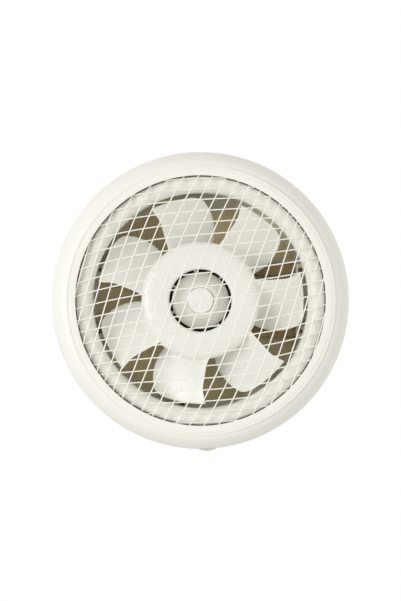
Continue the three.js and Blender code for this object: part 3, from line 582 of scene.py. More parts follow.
@cache
def tubes_tree() -> bpy.types.NodeTree:
    """Round tubes along loose edges.

    Returns:
        The tree, with inputs Radius and Sides.
    """
    tree = start_tree("tubes along edges", Radius=0.001, Sides=12)
    given = tree.source.outputs
    lines = tree.add("GeometryNodeMeshToCurve", {"Mesh": given["Geometry"]})
    size = {"Resolution": given["Sides"], "Radius": given["Radius"]}
    section = tree.add("GeometryNodeCurvePrimitiveCircle", size)
    tube = tree.add(
        "GeometryNodeCurveToMesh",
        {"Curve": lines.outputs[0], "Profile Curve": section.outputs[0], "Fill Caps": True},
    )
    return finish_tree(tree, tube.outputs[0])


@cache
def circle_tree() -> bpy.types.NodeTree:
    """Copies of a shape turned round the fan's axis.

    Returns:
        The tree, with inputs Count and First Angle.
    """
    tree = start_tree("copies round the axis", Count=4, First_Angle=0.0)
    given = tree.source.outputs
    index = tree.add("GeometryNodeInputIndex").outputs[0]
    step = tree.math("DIVIDE", 2 * math.pi, given["Count"])
    angle = tree.math("ADD", tree.math("MULTIPLY", index, step), given["First Angle"])
    turn = tree.add("ShaderNodeCombineXYZ", {"Y": angle})
    rotation = tree.add("FunctionNodeEulerToRotation", {0: turn.outputs[0]})
    return copied(tree, {"Count": given["Count"]}, Rotation=rotation.outputs[0])


@cache
def corners_tree() -> bpy.types.NodeTree:
    """Copies of a shape at the four corners of a rectangle.

    Returns:
        The tree, with inputs Half Width and Half Height.
    """
    tree = start_tree("copies at four corners", Half_Width=0.01, Half_Height=0.01)
    given = tree.source.outputs
    index = tree.add("GeometryNodeInputIndex").outputs[0]
    column = tree.math("MODULO", index, 2.0)
    row = tree.math("FLOOR", tree.math("DIVIDE", index, 2.0))
    side, level = (
        tree.math("SUBTRACT", tree.math("MULTIPLY", number, 2.0), 1.0) for number in (column, row)
    )
    x = tree.math("MULTIPLY", side, given["Half Width"])
    z = tree.math("MULTIPLY", level, given["Half Height"])
    place = tree.add("ShaderNodeCombineXYZ", {"X": x, "Z": z})
    return copied(tree, {"Count": 4, "Position": place.outputs[0]})


@cache
def rows_tree() -> bpy.types.NodeTree:
    """Rows of a bar of unit length, each cut to the width of a circle at its height.

    Returns:
        The tree, with inputs Count, Pitch, Reach and Drop.
    """
    tree = start_tree("rows across a circle", Count=7, Pitch=0.03, Reach=0.1, Drop=0.0)
    given = tree.source.outputs
    index = tree.add("GeometryNodeInputIndex").outputs[0]
    middle = tree.math("MULTIPLY", tree.math("SUBTRACT", given["Count"], 1.0), 0.5)
    height = tree.math("MULTIPLY", tree.math("SUBTRACT", index, middle), given["Pitch"])
    edge = tree.math("SUBTRACT", height, given["Drop"])
    whole, part = (tree.math("MULTIPLY", side, side) for side in (given["Reach"], edge))
    length = tree.math("MULTIPLY", tree.math("SQRT", tree.math("SUBTRACT", whole, part)), 2.0)
    place = tree.add("ShaderNodeCombineXYZ", {"Z": height})
    size = tree.add("ShaderNodeCombineXYZ", {"X": length, "Y": 1.0, "Z": 1.0})
    points = {"Count": given["Count"], "Position": place.outputs[0]}
    return copied(tree, points, Scale=size.outputs[0])


def grown(shape: Shape, tree: bpy.types.NodeTree, **inputs: Any) -> Shape:
    """Run a geometry tree on a shape.

    Args:
        shape: The shape that it starts from.
        tree: The tree.
        inputs: Values by input name, with underscores for spaces.

    Returns:
        The grown shape.
    """
    obj = placed(shape, "grown")
    step = obj.modifiers.new("grow", "NODES")
    named = {item.name: item.identifier for item in tree.interface.items_tree}
    for name, value in inputs.items():
        step[named[spaced(name)]] = value
    step.node_group = tree
    return lifted(obj)


def around(shape: Shape, count: int, first: float = 0) -> Shape:
    """Copy a shape round the axis."""
    return grown(shape, circle_tree(), Count=count, First_Angle=math.radians(first))


def at_corners(shape: Shape, half_width: float, half_height: float) -> Shape:
    """Copy a shape to four corners."""
    return grown(shape, corners_tree(), Half_Width=half_width * MM, Half_Height=half_height * MM)


def tubes(lines: Sequence[Sequence[Vector]], radius: float, sides: int) -> Shape:
    """Make round tubes along lines."""
    paths = [Shape(list(line), [], [(i, i + 1) for i in range(len(line) - 1)]) for line in lines]
    return grown(together(*paths), tubes_tree(), Radius=radius * MM, Sides=sides)


# Shader groups, and the outputs that they have

SURFACE = {"Color": "Color", "Roughness": "Float", "Height": "Float"}
RELIEF = {"Color": "Color", "Height": "Float"}
MASK = {"Mask": "Float"}


@cache
def surface_group() -> bpy.types.NodeTree:
    """Slow changes of shade and gloss, with a fine grain.

    Returns:
        The group.
    """
    tree = NodeTree.group(
        "moulded surface",
        SURFACE,
        Color=(0.8, 0.8, 0.8, 1),
        Tint=0.03,
        Patch_Scale=14.0,
        Roughness=0.4,
        Spread=0.08,
        Grain_Scale=1500.0,
    )
    given = tree.source.outputs
    place = tree.place()
    patch = tree.noise(place, given["Patch Scale"], 3.0)
    shift = tree.math("MULTIPLY", tree.math("SUBTRACT", patch, 0.5), given["Tint"])
    shade = tree.math("ADD", tree.math("MULTIPLY", shift, 2.0), 1.0)
    smear = tree.noise(place, tree.math("MULTIPLY", given["Patch Scale"], 5.0), 4.0)
    change = tree.math("MULTIPLY", tree.math("SUBTRACT", smear, 0.5), given["Spread"])
    return tree.close(
        Color=tree.shaded(given["Color"], shade),
        Roughness=tree.math("ADD", given["Roughness"], change),
        Height=tree.noise(place, given["Grain Scale"], 2.0),
    )


@cache
def dust_group() -> bpy.types.NodeTree:
    """Dust that settles on what faces up.

    Returns:
        The group.
    """
    tree = NodeTree.group("settled dust", MASK, Amount=0.2, Scale=60.0)
    given = tree.source.outputs
    facing = tree.add("ShaderNodeTexCoord").outputs["Normal"]
    up = tree.add("ShaderNodeSeparateXYZ", {0: facing}).outputs["Z"]
    lift = tree.math("MAXIMUM", tree.math("ADD", tree.math("MULTIPLY", up, 0.7), 0.3), 0.0)
    spots = tree.noise(tree.place(), given["Scale"], 5.0)
    return tree.close(Mask=tree.math("MULTIPLY", tree.math("MULTIPLY", lift, spots), given["Amount"]))


@cache
def rim_shade_group() -> bpy.types.NodeTree:
    """Painted shade that darkens toward a rim round the fan's axis, standing in for the shade that
    falls into a recess.

    Returns:
        The group.
    """
    tree = NodeTree.group("painted shade toward a rim", MASK, Inner=0.01, Outer=0.03, Amount=0.3)
    given = tree.source.outputs
    place = tree.place()
    far = tree.distance(place, (1, 0, 1))
    limits = {0: far, 1: given["Inner"], 2: given["Outer"], 3: 0.0, 4: given["Amount"]}
    # Darker toward the outer radius, with a little noise: painted shade
    ramp = tree.add("ShaderNodeMapRange", limits).outputs[0]
    spots = tree.math("ADD", tree.math("MULTIPLY", tree.noise(place, 90.0, 4.0), 0.5), 0.75)
    return tree.close(Mask=tree.math("MULTIPLY", ramp, spots))


@cache
def metal_group() -> bpy.types.NodeTree:
    """Fine streaks and small changes of shade on metal.

    Returns:
        The group.
    """
    tree = NodeTree.group(
        "drawn metal", SURFACE, Color=(0.6, 0.6, 0.6, 1), Roughness=0.3, Streak_Scale=900.0
    )
    given = tree.source.outputs
    place = tree.place()
    long = tree.add("ShaderNodeMapping", {"Vector": place, "Scale": (0.04, 1.0, 1.0)}).outputs[0]
    streak = tree.noise(long, given["Streak Scale"], 4.0)
    shade = tree.math("ADD", tree.math("MULTIPLY", tree.noise(place, 120.0, 3.0), 0.3), 0.85)
    change = tree.math("MULTIPLY", tree.math("SUBTRACT", streak, 0.5), 0.25)
    gloss = tree.math("ADD", given["Roughness"], change)
    return tree.close(Color=tree.shaded(given["Color"], shade), Roughness=gloss, Height=streak)


@cache
def cells_group() -> bpy.types.NodeTree:
    """Open cells of a foam, with painted shade in their pits.

    Returns:
        The group.
    """
    tree = NodeTree.group("foam cells", RELIEF, Color=(0.02, 0.02, 0.02, 1), Cell_Scale=900.0)
    given = tree.source.outputs
    inputs = {"Vector": tree.place(), "Scale": given["Cell Scale"]}
    cell = tree.add("ShaderNodeTexVoronoi", inputs).outputs["Distance"]
    # Darker in the pits of the cells: painted shade
    shade = tree.math("ADD", tree.math("MULTIPLY", cell, 1.2), 0.5)
    return tree.close(Color=tree.shaded(given["Color"], shade), Height=cell)


@cache
def bands_group() -> bpy.types.NodeTree:
    """Even bands across one direction, such as stacked sheets or laid wire, with painted shade in the
    grooves between them.

    Returns:
        The group.
    """
    tree = NodeTree.group(
        "even bands",
        RELIEF,
        Color=(0.5, 0.5, 0.5, 1),
        Groove_Color=(0.2, 0.2, 0.2, 1),
        Band_Scale=300.0,
        Spread=(0.0, 1.0, 0.0),
    )
    given = tree.source.outputs
    phase = tree.math("MULTIPLY", tree.distance(tree.place(), given["Spread"]), given["Band Scale"])
    wave = tree.math("ABSOLUTE", tree.math("SINE", phase))
    # The groove colour darkens the grooves: painted shade
    return tree.close(Color=tree.mixed(wave, given["Groove Color"], given["Color"]), Height=wave)


# Finishes, the colour of settled dust and the colour of painted shade

DUST = (0.33, 0.3, 0.25, 1)
# Colour of the painted shade toward the dish's rim
RIM_SHADE = (0.3, 0.28, 0.22, 1)
SMOOTH = {"tint": 0.012, "spread": 0.06}


@dataclass(frozen=True)
class Finish:
    """A surface finish of one material slot."""

    slot: str
    color: Color
    roughness: float
    _: KW_ONLY
    label: str = ""
    metallic: float = 0.0
    coat: float = 0.0
    relief: float = 0.12
    depth: float = 0.05

    def material(self) -> bpy.types.Material:
        """The finish's material, built once.

        Returns:
            The material.
        """
        name = f"look_{self.label or self.slot}"
        if name in bpy.data.materials:
            return bpy.data.materials[name]
        made = bpy.data.materials.new(name)
        made.use_nodes = True
        tree = NodeTree(made.node_tree)
        shader = made.node_tree.nodes["Principled BSDF"].inputs
        shader["Roughness"].default_value = self.roughness
        shader["Metallic"].default_value = self.metallic
        shader["Coat Weight"].default_value = self.coat
        face = self.face(tree).outputs
        links = made.node_tree.links
        links.new(self.with_dust_and_shade(tree, face["Color"]), shader["Base Color"])
        if "Roughness" in face:
            links.new(face["Roughness"], shader["Roughness"])
        height = {"Height": face["Height"], "Strength": self.relief, "Distance": self.depth * MM}
        links.new(tree.add("ShaderNodeBump", height).outputs[0], shader["Normal"])
        return made

    def face(self, tree: NodeTree) -> Any:
        """Add the node that gives colour, roughness and height."""
        raise NotImplementedError

    def with_dust_and_shade(self, tree: NodeTree, color: Any) -> Any:
        """Lay dust and painted shade over a colour, where the finish has them."""
        return color


@dataclass(frozen=True, kw_only=True)
class Moulded(Finish):
    """Moulded plastic or paint: even, with a fine grain."""

    tint: float = 0.02
    spread: float = 0.08
    dust: float = 0.0
    # Painted shade that darkens toward a rim between two radii, in millimetres
    rim_shade: float = 0.0
    rim_shade_from: float = 0.0
    rim_shade_to: float = 0.0

    def face(self, tree: NodeTree) -> Any:
        """Add the moulded surface."""
        look = {"Color": (*self.color, 1), "Tint": self.tint, "Spread": self.spread}
        return tree.effect(surface_group(), Roughness=self.roughness, **look)

    def with_dust_and_shade(self, tree: NodeTree, color: Any) -> Any:
        """Lay dust and painted shade over a colour.

        Args:
            tree: The material's tree.
            color: The colour's socket.

        Returns:
            The socket of the colour with the dust and the painted shade on it.
        """
        if self.dust:
            settled = tree.effect(dust_group(), Amount=self.dust)
            color = tree.mixed(settled.outputs["Mask"], color, DUST)
        # Painted shade toward the rim, standing in for the shade in a recess
        if self.rim_shade:
            reach = {"Inner": self.rim_shade_from * MM, "Outer": self.rim_shade_to * MM}
            painted_rim_shade = tree.effect(rim_shade_group(), Amount=self.rim_shade, **reach)
            color = tree.mixed(painted_rim_shade.outputs["Mask"], color, RIM_SHADE)
        return color


@dataclass(frozen=True, kw_only=True)
class Metal(Finish):
    """Bare or plated metal with fine streaks."""

    streaks: float = 900.0
    metallic: float = 1.0
    relief: float = 0.15
    depth: float = 0.03

    def face(self, tree: NodeTree) -> Any:
        """Add the streaked metal."""
        look = {"Color": (*self.color, 1), "Streak_Scale": self.streaks}
        return tree.effect(metal_group(), Roughness=self.roughness, **look)


@dataclass(frozen=True, kw_only=True)
class Foam(Finish):
    """Soft foam with open cells."""

    cells: float = 900.0
    relief: float = 0.7
    depth: float = 0.3

    def face(self, tree: NodeTree) -> Any:
        """Add the foam's cells."""
        return tree.effect(cells_group(), Color=(*self.color, 1), Cell_Scale=self.cells)


@dataclass(frozen=True, kw_only=True)
class Banded(Finish):
    """Stacked sheets or laid wire."""

    # Darker colour in the grooves: painted shade
    groove: Color = (0.2, 0.2, 0.2)
    bands: float = 6000.0
    spread: Triple = (0.0, 1.0, 0.0)
    metallic: float = 1.0
    relief: float = 0.6
    depth: float = 0.2

    def face(self, tree: NodeTree) -> Any:
        """Add the bands."""
        look = {"Color": (*self.color, 1), "Groove_Color": (*self.groove, 1)}
        return tree.effect(bands_group(), Band_Scale=self.bands, Spread=self.spread, **look)


class Finishes:
    """The finishes of the fan."""

    case = Moulded("case_plastic", (0.89, 0.88, 0.822), 0.36, relief=0.08, **SMOOTH)
    guard = Moulded(
        "guard_coating", (0.95, 0.94, 0.87), 0.33, tint=0.01, spread=0.05, relief=0.05, coat=0.2
    )
    impeller = Moulded("impeller_plastic", (0.915, 0.908, 0.86), 0.3, relief=0.06, **SMOOTH)
    # The dish is the impeller's plastic in a darker copy: painted shade for the recessed eye, with more
    # painted shade toward its rim
    dish = Moulded(
        "impeller_plastic",
        (0.86, 0.85, 0.79),
        0.34,
        relief=0.06,
        rim_shade=0.75,
        rim_shade_from=12.0,
        rim_shade_to=28.5,
        label="dish",
        **SMOOTH,
    )
    # The inlet's grey, darker than the case, is painted shade for its place behind the bezel's bottom
    # edge
    inlet = Moulded("inlet_plastic", (0.63, 0.63, 0.57), 0.5, tint=0.03)
    # Warmer and darker than the case's plastic: painted warm shade for the tunnel's inside, which the
    # hood and slats share
    outdoor = Moulded("outdoor_plastic", (0.78, 0.735, 0.6), 0.48, tint=0.03, dust=0.25)
    # The flaps' tan is the ivory plastic made warmer and darker: painted shade from the dim tunnel
    flap = Moulded("flap_plastic", (0.86, 0.73, 0.44), 0.5, tint=0.05, dust=0.15)
    gasket = Foam("gasket_rubber", (0.024, 0.024, 0.023), 0.9)
    motor = Moulded("motor_paint", (0.022, 0.021, 0.019), 0.5, tint=0.05, relief=0.3, dust=0.2)
    core = Banded("core_steel", (0.3, 0.31, 0.32), 0.42, groove=(0.08, 0.08, 0.08), bands=6283.0)
    winding = Banded(
        "winding_wire",
        (0.2, 0.06, 0.025),
        0.38,
        groove=(0.07, 0.02, 0.01),
        bands=4488.0,
        spread=(1.0, 0.0, 1.0),
        metallic=0.35,
    )
    lead = Moulded("lead_plastic", (0.09, 0.088, 0.075), 0.55, tint=0.05, relief=0.2)
    steel = Metal("bright_steel", (0.62, 0.63, 0.64), 0.26)
    # Dark brownish steel: painted shade that keeps the rail screws from glinting in the dark tunnel
    screw_shade_steel = Metal("bright_steel", (0.36, 0.31, 0.22), 0.5, label="rail_screw_shade_steel")
    # Dark olive-brown: partly the tone of chromated zinc, darkened as painted shade for the rails in
    # the tunnel
    zinc_and_shade = Metal("zinc_steel", (0.26, 0.2, 0.1), 0.46, streaks=500.0)


def piece(
    shape: Shape,
    name: str,
    nodes: Iterable[str],
    finish: Finish,
    body: Body = Body.CASING,
    sharp: float = 32,
) -> None:
    """Make one dressed piece.

    Args:
        shape: Its shape.
        name: Its name.
        nodes: The CAD nodes that it stands for.
        finish: Its finish.
        body: The body that carries it.
        sharp: Least angle that stays sharp, in degrees.
    """
    obj = placed(shape, name)
    obj.data.materials.append(finish.material())
    obj.data.shade_smooth()
    obj.data.set_sharp_from_angle(angle=math.radians(sharp))
    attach(obj, body.value)
    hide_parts(*nodes)
    LOG.info("%s on %s: %d faces", name, body.value, len(obj.data.polygons))


# Sizes that several sub-assemblies share


@dataclass(frozen=True)
class Layout:
    """Sizes that mating pieces share, in millimetres."""

    gap: float = 0.3
    pane: float = 6.0
    gasket: float = 2.0
    bezel_radius: float = 148.4
    bezel_depth: float = 36.0
    wall: float = 2.2
    band: float = 14.2
    lip: float = 9.9
    rim_overlap: float = 1.3
    rim_width: float = 2.8
    rim_thickness: float = 3.2
    flange: float = 2.6
    slot: float = 1.8
    throat: float = 107.5
    mouth_wall: float = 2.3
    barrel_reach: float = 10.0
    tunnel_clearance: float = 2.2
    tunnel_wall: float = 2.4
    tunnel_length: float = 38.1
    seat_thickness: float = 3.0
    motor_back: float = 36.0
    lead_degrees: float = 190.0
    edge: float = 0.4
    hole: float = 2.3
    clamps: int = 3
    hood_screws: int = 4
    first_hood_screw: float = 45.0
    screw_inset: float = 5.0

    @property
    def frame_radius(self) -> float:
        """Outer radius of the frames."""
        return self.bezel_radius - self.wall - self.gap

    @property
    def lip_outer(self) -> float:
        """Outer radius of the flat lip."""
        return self.bezel_radius - self.band

    @property
    def lip_inner(self) -> float:
        """Inner radius of the flat lip."""
        return self.lip_outer - self.lip

    @property
    def lip_back(self) -> float:
        """Back face of the lip."""
        return self.wall - self.bezel_depth

    @property
    def rim_inner(self) -> float:
        """Inner radius of the guard's rim."""
        return self.lip_inner + self.rim_overlap

    @property
    def rim_outer(self) -> float:
        """Outer radius of the guard's rim."""
        return self.rim_inner + self.rim_width

    @property
    def rim_front(self) -> float:
        """Front of the guard's rim."""
        return self.lip_back + self.gap

    @property
    def rim_back(self) -> float:
        """Back of the guard's rim."""
        return self.rim_front + self.rim_thickness

    @property
    def frame_back(self) -> float:
        """Back face of the indoor flange."""
        return -self.gasket - self.gap

    @property
    def frame_front(self) -> float:
        """Front face of the indoor flange."""
        return self.frame_back - self.flange

    @property
    def mouth_outer(self) -> float:
        """Outer radius of the air mouth."""
        return self.lip_inner - self.slot

    @property
    def barrel_outer(self) -> float:
        """Outer radius of the barrel."""
        return self.throat + self.mouth_wall

    @property
    def outdoor_front(self) -> float:
        """Front face of the outdoor flange."""
        return self.pane + self.gasket + self.gap

    @property
    def outdoor_back(self) -> float:
        """Back face of the outdoor flange."""
        return self.outdoor_front + self.flange

    @property
    def tunnel_inner(self) -> float:
        """Inner radius of the tunnel."""
        return self.barrel_outer + self.tunnel_clearance

    @property
    def tunnel_outer(self) -> float:
        """Outer radius of the tunnel."""
        return self.tunnel_inner + self.tunnel_wall

    @property
    def tunnel_end(self) -> float:
        """Back end of the tunnel."""
        return self.outdoor_front + self.tunnel_length

    @property
    def seat_front(self) -> float:
        """Front face of the shutters' seat."""
        return self.tunnel_end - self.seat_thickness

    @property
    def hood_front(self) -> float:
        """Front face of the hood's flange."""
        return self.outdoor_back + self.gap

    @property
    def clamp_circle(self) -> float:
        """Radius of the circle of clamp screws."""
        return (self.barrel_outer + self.mouth_outer - self.mouth_wall) / 2

    def drill(self, front: float, back: float) -> Shape:
        """A cutter for a screw hole through a wall."""
        return rod(self.hole, front - PAST, back + PAST, 0)

    def at_clamps(self, shape: Shape) -> Shape:
        """Copy a shape to the places of the clamp screws."""
        return around(shape.moved(z=self.clamp_circle), self.clamps)

    def at_hood_screws(self, shape: Shape) -> Shape:
        """Copy a shape to the places of the hood's screws."""
        shape = shape.moved(z=self.frame_radius - self.screw_inset)
        return around(shape, self.hood_screws, self.first_hood_screw)


LAYOUT = Layout()


@dataclass(frozen=True)
class Lead:
    """Motor lead and the way cut for it."""

    radius: float = 2.2
    shelf: float = 12.0
    drop: float = 26.0
    bend: float = 7.0
    motor_radius: float = 42.0
    steps: int = 10
    sides: int = 24

    def path(self) -> list[Vector]:
        """The lead's middle line.

        Returns:
            Its points.
        """
        lay = LAYOUT
        front = lay.frame_front - self.shelf
        corners = [
            (lay.rim_outer + lay.wall + 2 * lay.gap, front),
            (lay.clamp_circle + lay.gap, front),
            (lay.clamp_circle + lay.gap, self.drop),
            (self.motor_radius + lay.gap, self.drop),
        ]
        flat = [Vector(c) for c in corners]
        line = [flat[0]]
        for i in range(1, len(flat) - 1):
            here = flat[i]
            start = here + (flat[i - 1] - here).normalized() * self.bend
            end = here + (flat[i + 1] - here).normalized() * self.bend
            line += bend(start, here, end, self.steps)
        line.append(flat[-1])
        points = []
        for radius, y in line:
            x, z = on_circle(radius, lay.lead_degrees)
            points.append(Vector((x, y, z)))
        return points

    def shape(self) -> Shape:
        """The lead itself."""
        return tubes([self.path()], self.radius, self.sides)

    def way(self) -> Shape:
        """What is cut out of its neighbours."""
        return tubes([self.path()], self.radius + 2 * LAYOUT.gap, self.sides)

    def build(self) -> None:
        """Make the lead."""
        piece(self.shape(), "lead", ["motor_lead"], Finishes.lead)


@dataclass(frozen=True)
class Inlet:
    """Cord inlet in the bottom edge."""

    width: float = 20.0
    depth: float = 8.0
    height: float = 9.0
    out: float = 1.97
    face_radius: float = 20.0
    degrees: float = 177.4
    bore: float = 3.2
    edge: float = 0.9
    rib_width: float = 0.9
    rib_depth: float = 0.7
    rib_sink: float = 0.2
    rib_edge: float = 0.2
    rib_margin: float = 4.6
    rib_shift: float = 0.5
    rib_places: tuple[float, ...] = (-7.2, -5.4, 5.4, 7.2)
    face_steps: int = 24
    bore_segments: int = 48

    @property
    def middle(self) -> float:
        """Middle of the inlet along the fan's axis."""
        return LAYOUT.frame_front - 2 * LAYOUT.gap - self.depth / 2

    @property
    def outer(self) -> float:
        """How far the inlet reaches from the axis."""
        return LAYOUT.bezel_radius + self.out

    def body(self, margin: float, edge: float) -> Shape:
        """The inlet's block with its rounded outer side.

        Args:
            margin: Extra size on all sides.
            edge: Width of its rounding.

        Returns:
            The block in its place.
        """
        half = self.width / 2 + margin
        radius = self.face_radius + margin
        inner = self.outer - self.height - margin
        span = math.degrees(math.acos(half / radius))
        middle = (0, self.outer - self.face_radius)
        face = arc(middle, (radius, radius), span, 180 - span, self.face_steps)
        reach = self.depth / 2 + margin
        shape = prism([(half, inner), *face, (-half, inner)], self.middle - reach, self.middle + reach)
        if edge:
            shape = bevelled(shape, edge)
        return shape.turned(self.degrees)

    def build(self) -> None:
        """Make the inlet, with its bore and fine grip ribs."""
        reach = self.height * 2
        hole = rod(self.bore, -reach, reach, 0, self.bore_segments).along_z()
        hole = hole.moved(0, self.middle, self.outer).turned(self.degrees)
        body = self.body(0, self.edge).cut_by(hole)
        y = self.middle - self.depth / 2 + self.rib_sink
        z = self.outer - self.height / 2 - self.rib_shift
        size = (self.rib_width, self.rib_depth, self.height - self.rib_margin)
        ribs = [block(size, (x, y, z), self.rib_edge) for x in self.rib_places]
        shape = together(body, together(*ribs).turned(self.degrees))
        piece(shape, "inlet", ["cord_inlet"], Finishes.inlet)


@dataclass(frozen=True)
class FrontBezel:
    """Rolled band, step and flat lip on the room side."""

    side_height: float = 10.0
    pane_gap: float = 0.8
    lip_step: float = 2.4
    edge_round: float = 0.8
    groove_inset: float = 2.5
    # Points (radius, y) from the groove's middle, the lip's outer edge and the band's foot
    groove: Outline = ((-0.65, 0), (-0.4, 0.06), (-0.1, 0.6), (0.1, 0.6), (0.4, 0.06), (0.65, 0))
    lip_edge: Outline = ((-0.55, 0), (-0.16, 0.14), (0, 0.5))
    band_foot: Outline = ((0, -0.35), (0.12, -0.08))
    rear_edge: float = 0.4
    spigot: float = 14.0
    flatness: float = 1.22
    steps: int = 28
    nose_steps: int = 6
    segments: int = 240

    def profile(self) -> Profile:
        """The bezel's section.

        Returns:
            Points (radius, y).
        """
        lay = LAYOUT
        face = -lay.bezel_depth
        side_front = -self.pane_gap - self.side_height
        band_front = self.lip_step - lay.bezel_depth
        roll = band_front - side_front
        inner = lay.rim_outer + lay.gap
        outer = inner + lay.wall
        nose = (lay.lip_inner + self.edge_round, face + self.edge_round)
        middle = (lay.lip_outer, side_front)
        inside = (lay.band - lay.wall, roll + lay.wall)
        return [
            (lay.lip_inner, lay.lip_back),
            *arc(nose, (self.edge_round,) * 2, 180, 270, self.nose_steps),
            *shifted(self.groove, lay.lip_outer - self.groove_inset, face),
            *shifted(self.lip_edge, lay.lip_outer, face),
            *shifted(self.band_foot, lay.lip_outer, band_front),
            *arc(middle, (lay.band, roll), 90, 0, self.steps, self.flatness)[1:],
            (lay.bezel_radius, -self.pane_gap - self.rear_edge),
            (lay.bezel_radius - self.rear_edge, -self.pane_gap),
            (lay.bezel_radius - lay.wall, -self.pane_gap),
            *arc(middle, inside, 0, 90, self.steps, self.flatness),
            (outer, band_front + lay.wall),
            (outer, lay.lip_back + self.spigot),
            (inner, lay.lip_back + self.spigot),
            (inner, lay.lip_back),
        ]

    def build(self) -> None:
        """Make the bezel with the notch for the inlet."""
        body = revolve(self.profile(), self.segments).cut_by(Inlet().body(LAYOUT.gap, 0))
        piece(body, "bezel", ["front_bezel"], Finishes.case)


@dataclass(frozen=True)
class WireFamily:
    """One family of wires in the guard."""

    pitch: float
    offset: float
    angle: float
    side: int


@dataclass(frozen=True)
class WireGuard:
    """Domed guard of two families of wires.

    bow, crowd, twist and shear say how the even spacing is drawn together towards the rim.
    """

    radius: float = 125.0
    rise: float = 12.85
    wire: float = 0.62
    layer: float = 0.6
    rim_edge: float = 1.1
    each_side: int = 10
    steps: int = 44
    sides: int = 10
    # Rounds in the two searches for a place
    offset_rounds: int = 8
    end_rounds: int = 12
    bow: float = 0.1185
    crowd: float = 0.1106
    twist: float = 0.0587
    shear: float = 0.0865
    families: tuple[WireFamily, ...] = (
        WireFamily(13.41, 0.12, 6.48, 1),
        WireFamily(13.57, -0.83, 70.16, -1),
    )

    def offset(self, u: float, index: int, family: WireFamily) -> float:
        """Where a wire runs at a place along it.

        Args:
            u: The place along it, as a share of the net's radius.
            index: The wire's number from the middle.
            family: Its family.

        Returns:
            Its distance from the family's middle line, as a share.
        """
        target = (index * family.pitch - family.offset) / self.radius
        v = target
        for _ in range(self.offset_rounds):
            value = v * (1 + self.bow * u * u + self.crowd * v * v)
            value += family.side * (self.twist * u**3 - self.shear * u * v * v)
            slope = 1 + self.bow * u * u + 3 * self.crowd * v * v - 2 * family.side * self.shear * u * v
            v -= (value - target) / slope
        return v

    def end(self, sign: int, index: int, family: WireFamily, reach: float) -> float:
        """Where a wire meets the rim.

        Args:
            sign: Which side.
            index: The wire's number.
            family: Its family.
            reach: The rim's radius as a share.

        Returns:
            The place along the wire.
        """
        u = sign * reach
        for _ in range(self.end_rounds):
            v = self.offset(u, index, family)
            u = (u + sign * math.sqrt(max(0.0, reach * reach - v * v))) / 2
        return u

    def line(self, index: int, family: WireFamily) -> list[Vector]:
        """A wire's middle line.

        Args:
            index: The wire's number.
            family: Its family.

        Returns:
            Its points.
        """
        reach = (LAYOUT.rim_inner + LAYOUT.rim_width / 2) / self.radius
        start, end = (self.end(s, index, family, reach) for s in (-1, 1))
        angle = math.radians(family.angle)
        middle = (LAYOUT.rim_front + LAYOUT.rim_back) / 2 + family.side * self.layer
        points = []
        for i in range(self.steps + 1):
            u = start + (end - start) * i / self.steps
            v = self.offset(u, index, family)
            y = middle - self.rise * (1 - (u * u + v * v) / (reach * reach))
            x = self.radius * (u * math.cos(angle) + v * math.sin(angle))
            z = self.radius * (u * math.sin(angle) - v * math.cos(angle))
            points.append(Vector((x, y, z)))
        return points

    def build(self) -> None:
        """Make the guard."""
        numbers = range(-self.each_side, self.each_side + 1)
        lines = [self.line(index, family) for family in self.families for index in numbers]
        wires = tubes(lines, self.wire, self.sides)
        lay = LAYOUT
        rim = plain_ring(lay.rim_inner, lay.rim_outer, lay.rim_front, lay.rim_back, self.rim_edge)
        piece(together(wires, rim), "guard", ["wire_guard"], Finishes.guard, sharp=45)


@dataclass(frozen=True)
class AirMouth:
    """Rolled air mouth with its skirt and barrel."""

    recess: float = 7.0
    crown_share: float = 0.633
    inner_roll: float = 10.5
    outer_roll: float = 5.0
    skirt_flare: float = 1.1
    fullness: float = 0.45
    edge: float = 0.5
    steps: int = 20

    def profile(self) -> Profile:
        """The mouth's section.

        Returns:
            Points (radius, y).
        """
        lay = LAYOUT
        crown = lay.throat + (lay.mouth_outer - lay.throat) * self.crown_share
        y = self.recess - lay.bezel_depth
        inner = (crown, y + self.inner_roll)
        outer = (crown, y + self.outer_roll)
        skirt = lay.mouth_outer + self.skirt_flare
        wide, slim = crown - lay.throat, skirt - crown
        end = lay.frame_front - lay.gap
        wall = lay.mouth_wall
        back = lay.pane + lay.barrel_reach
        return [
            *arc(inner, (wide, self.inner_roll), 180, 270, self.steps),
            *arc(outer, (slim, self.outer_roll), 270, 360, self.steps, self.fullness)[1:],
            (skirt, end),
            (skirt - wall, end),
            *arc(outer, (slim - wall, self.outer_roll - wall), 360, 270, self.steps, self.fullness),
            *arc(inner, (wide - wall, self.inner_roll - wall), 270, 180, self.steps)[1:],
            (lay.barrel_outer, back - self.edge),
            (lay.barrel_outer - self.edge, back),
            (lay.throat + self.edge, back),
            (lay.throat, back - self.edge),
        ]

    def build(self) -> None:
        """Make the mouth with the way for the lead."""
        body = revolve(self.profile()).cut_by(Lead().way())
        piece(body, "air_mouth", ["orifice_ring"], Finishes.case)


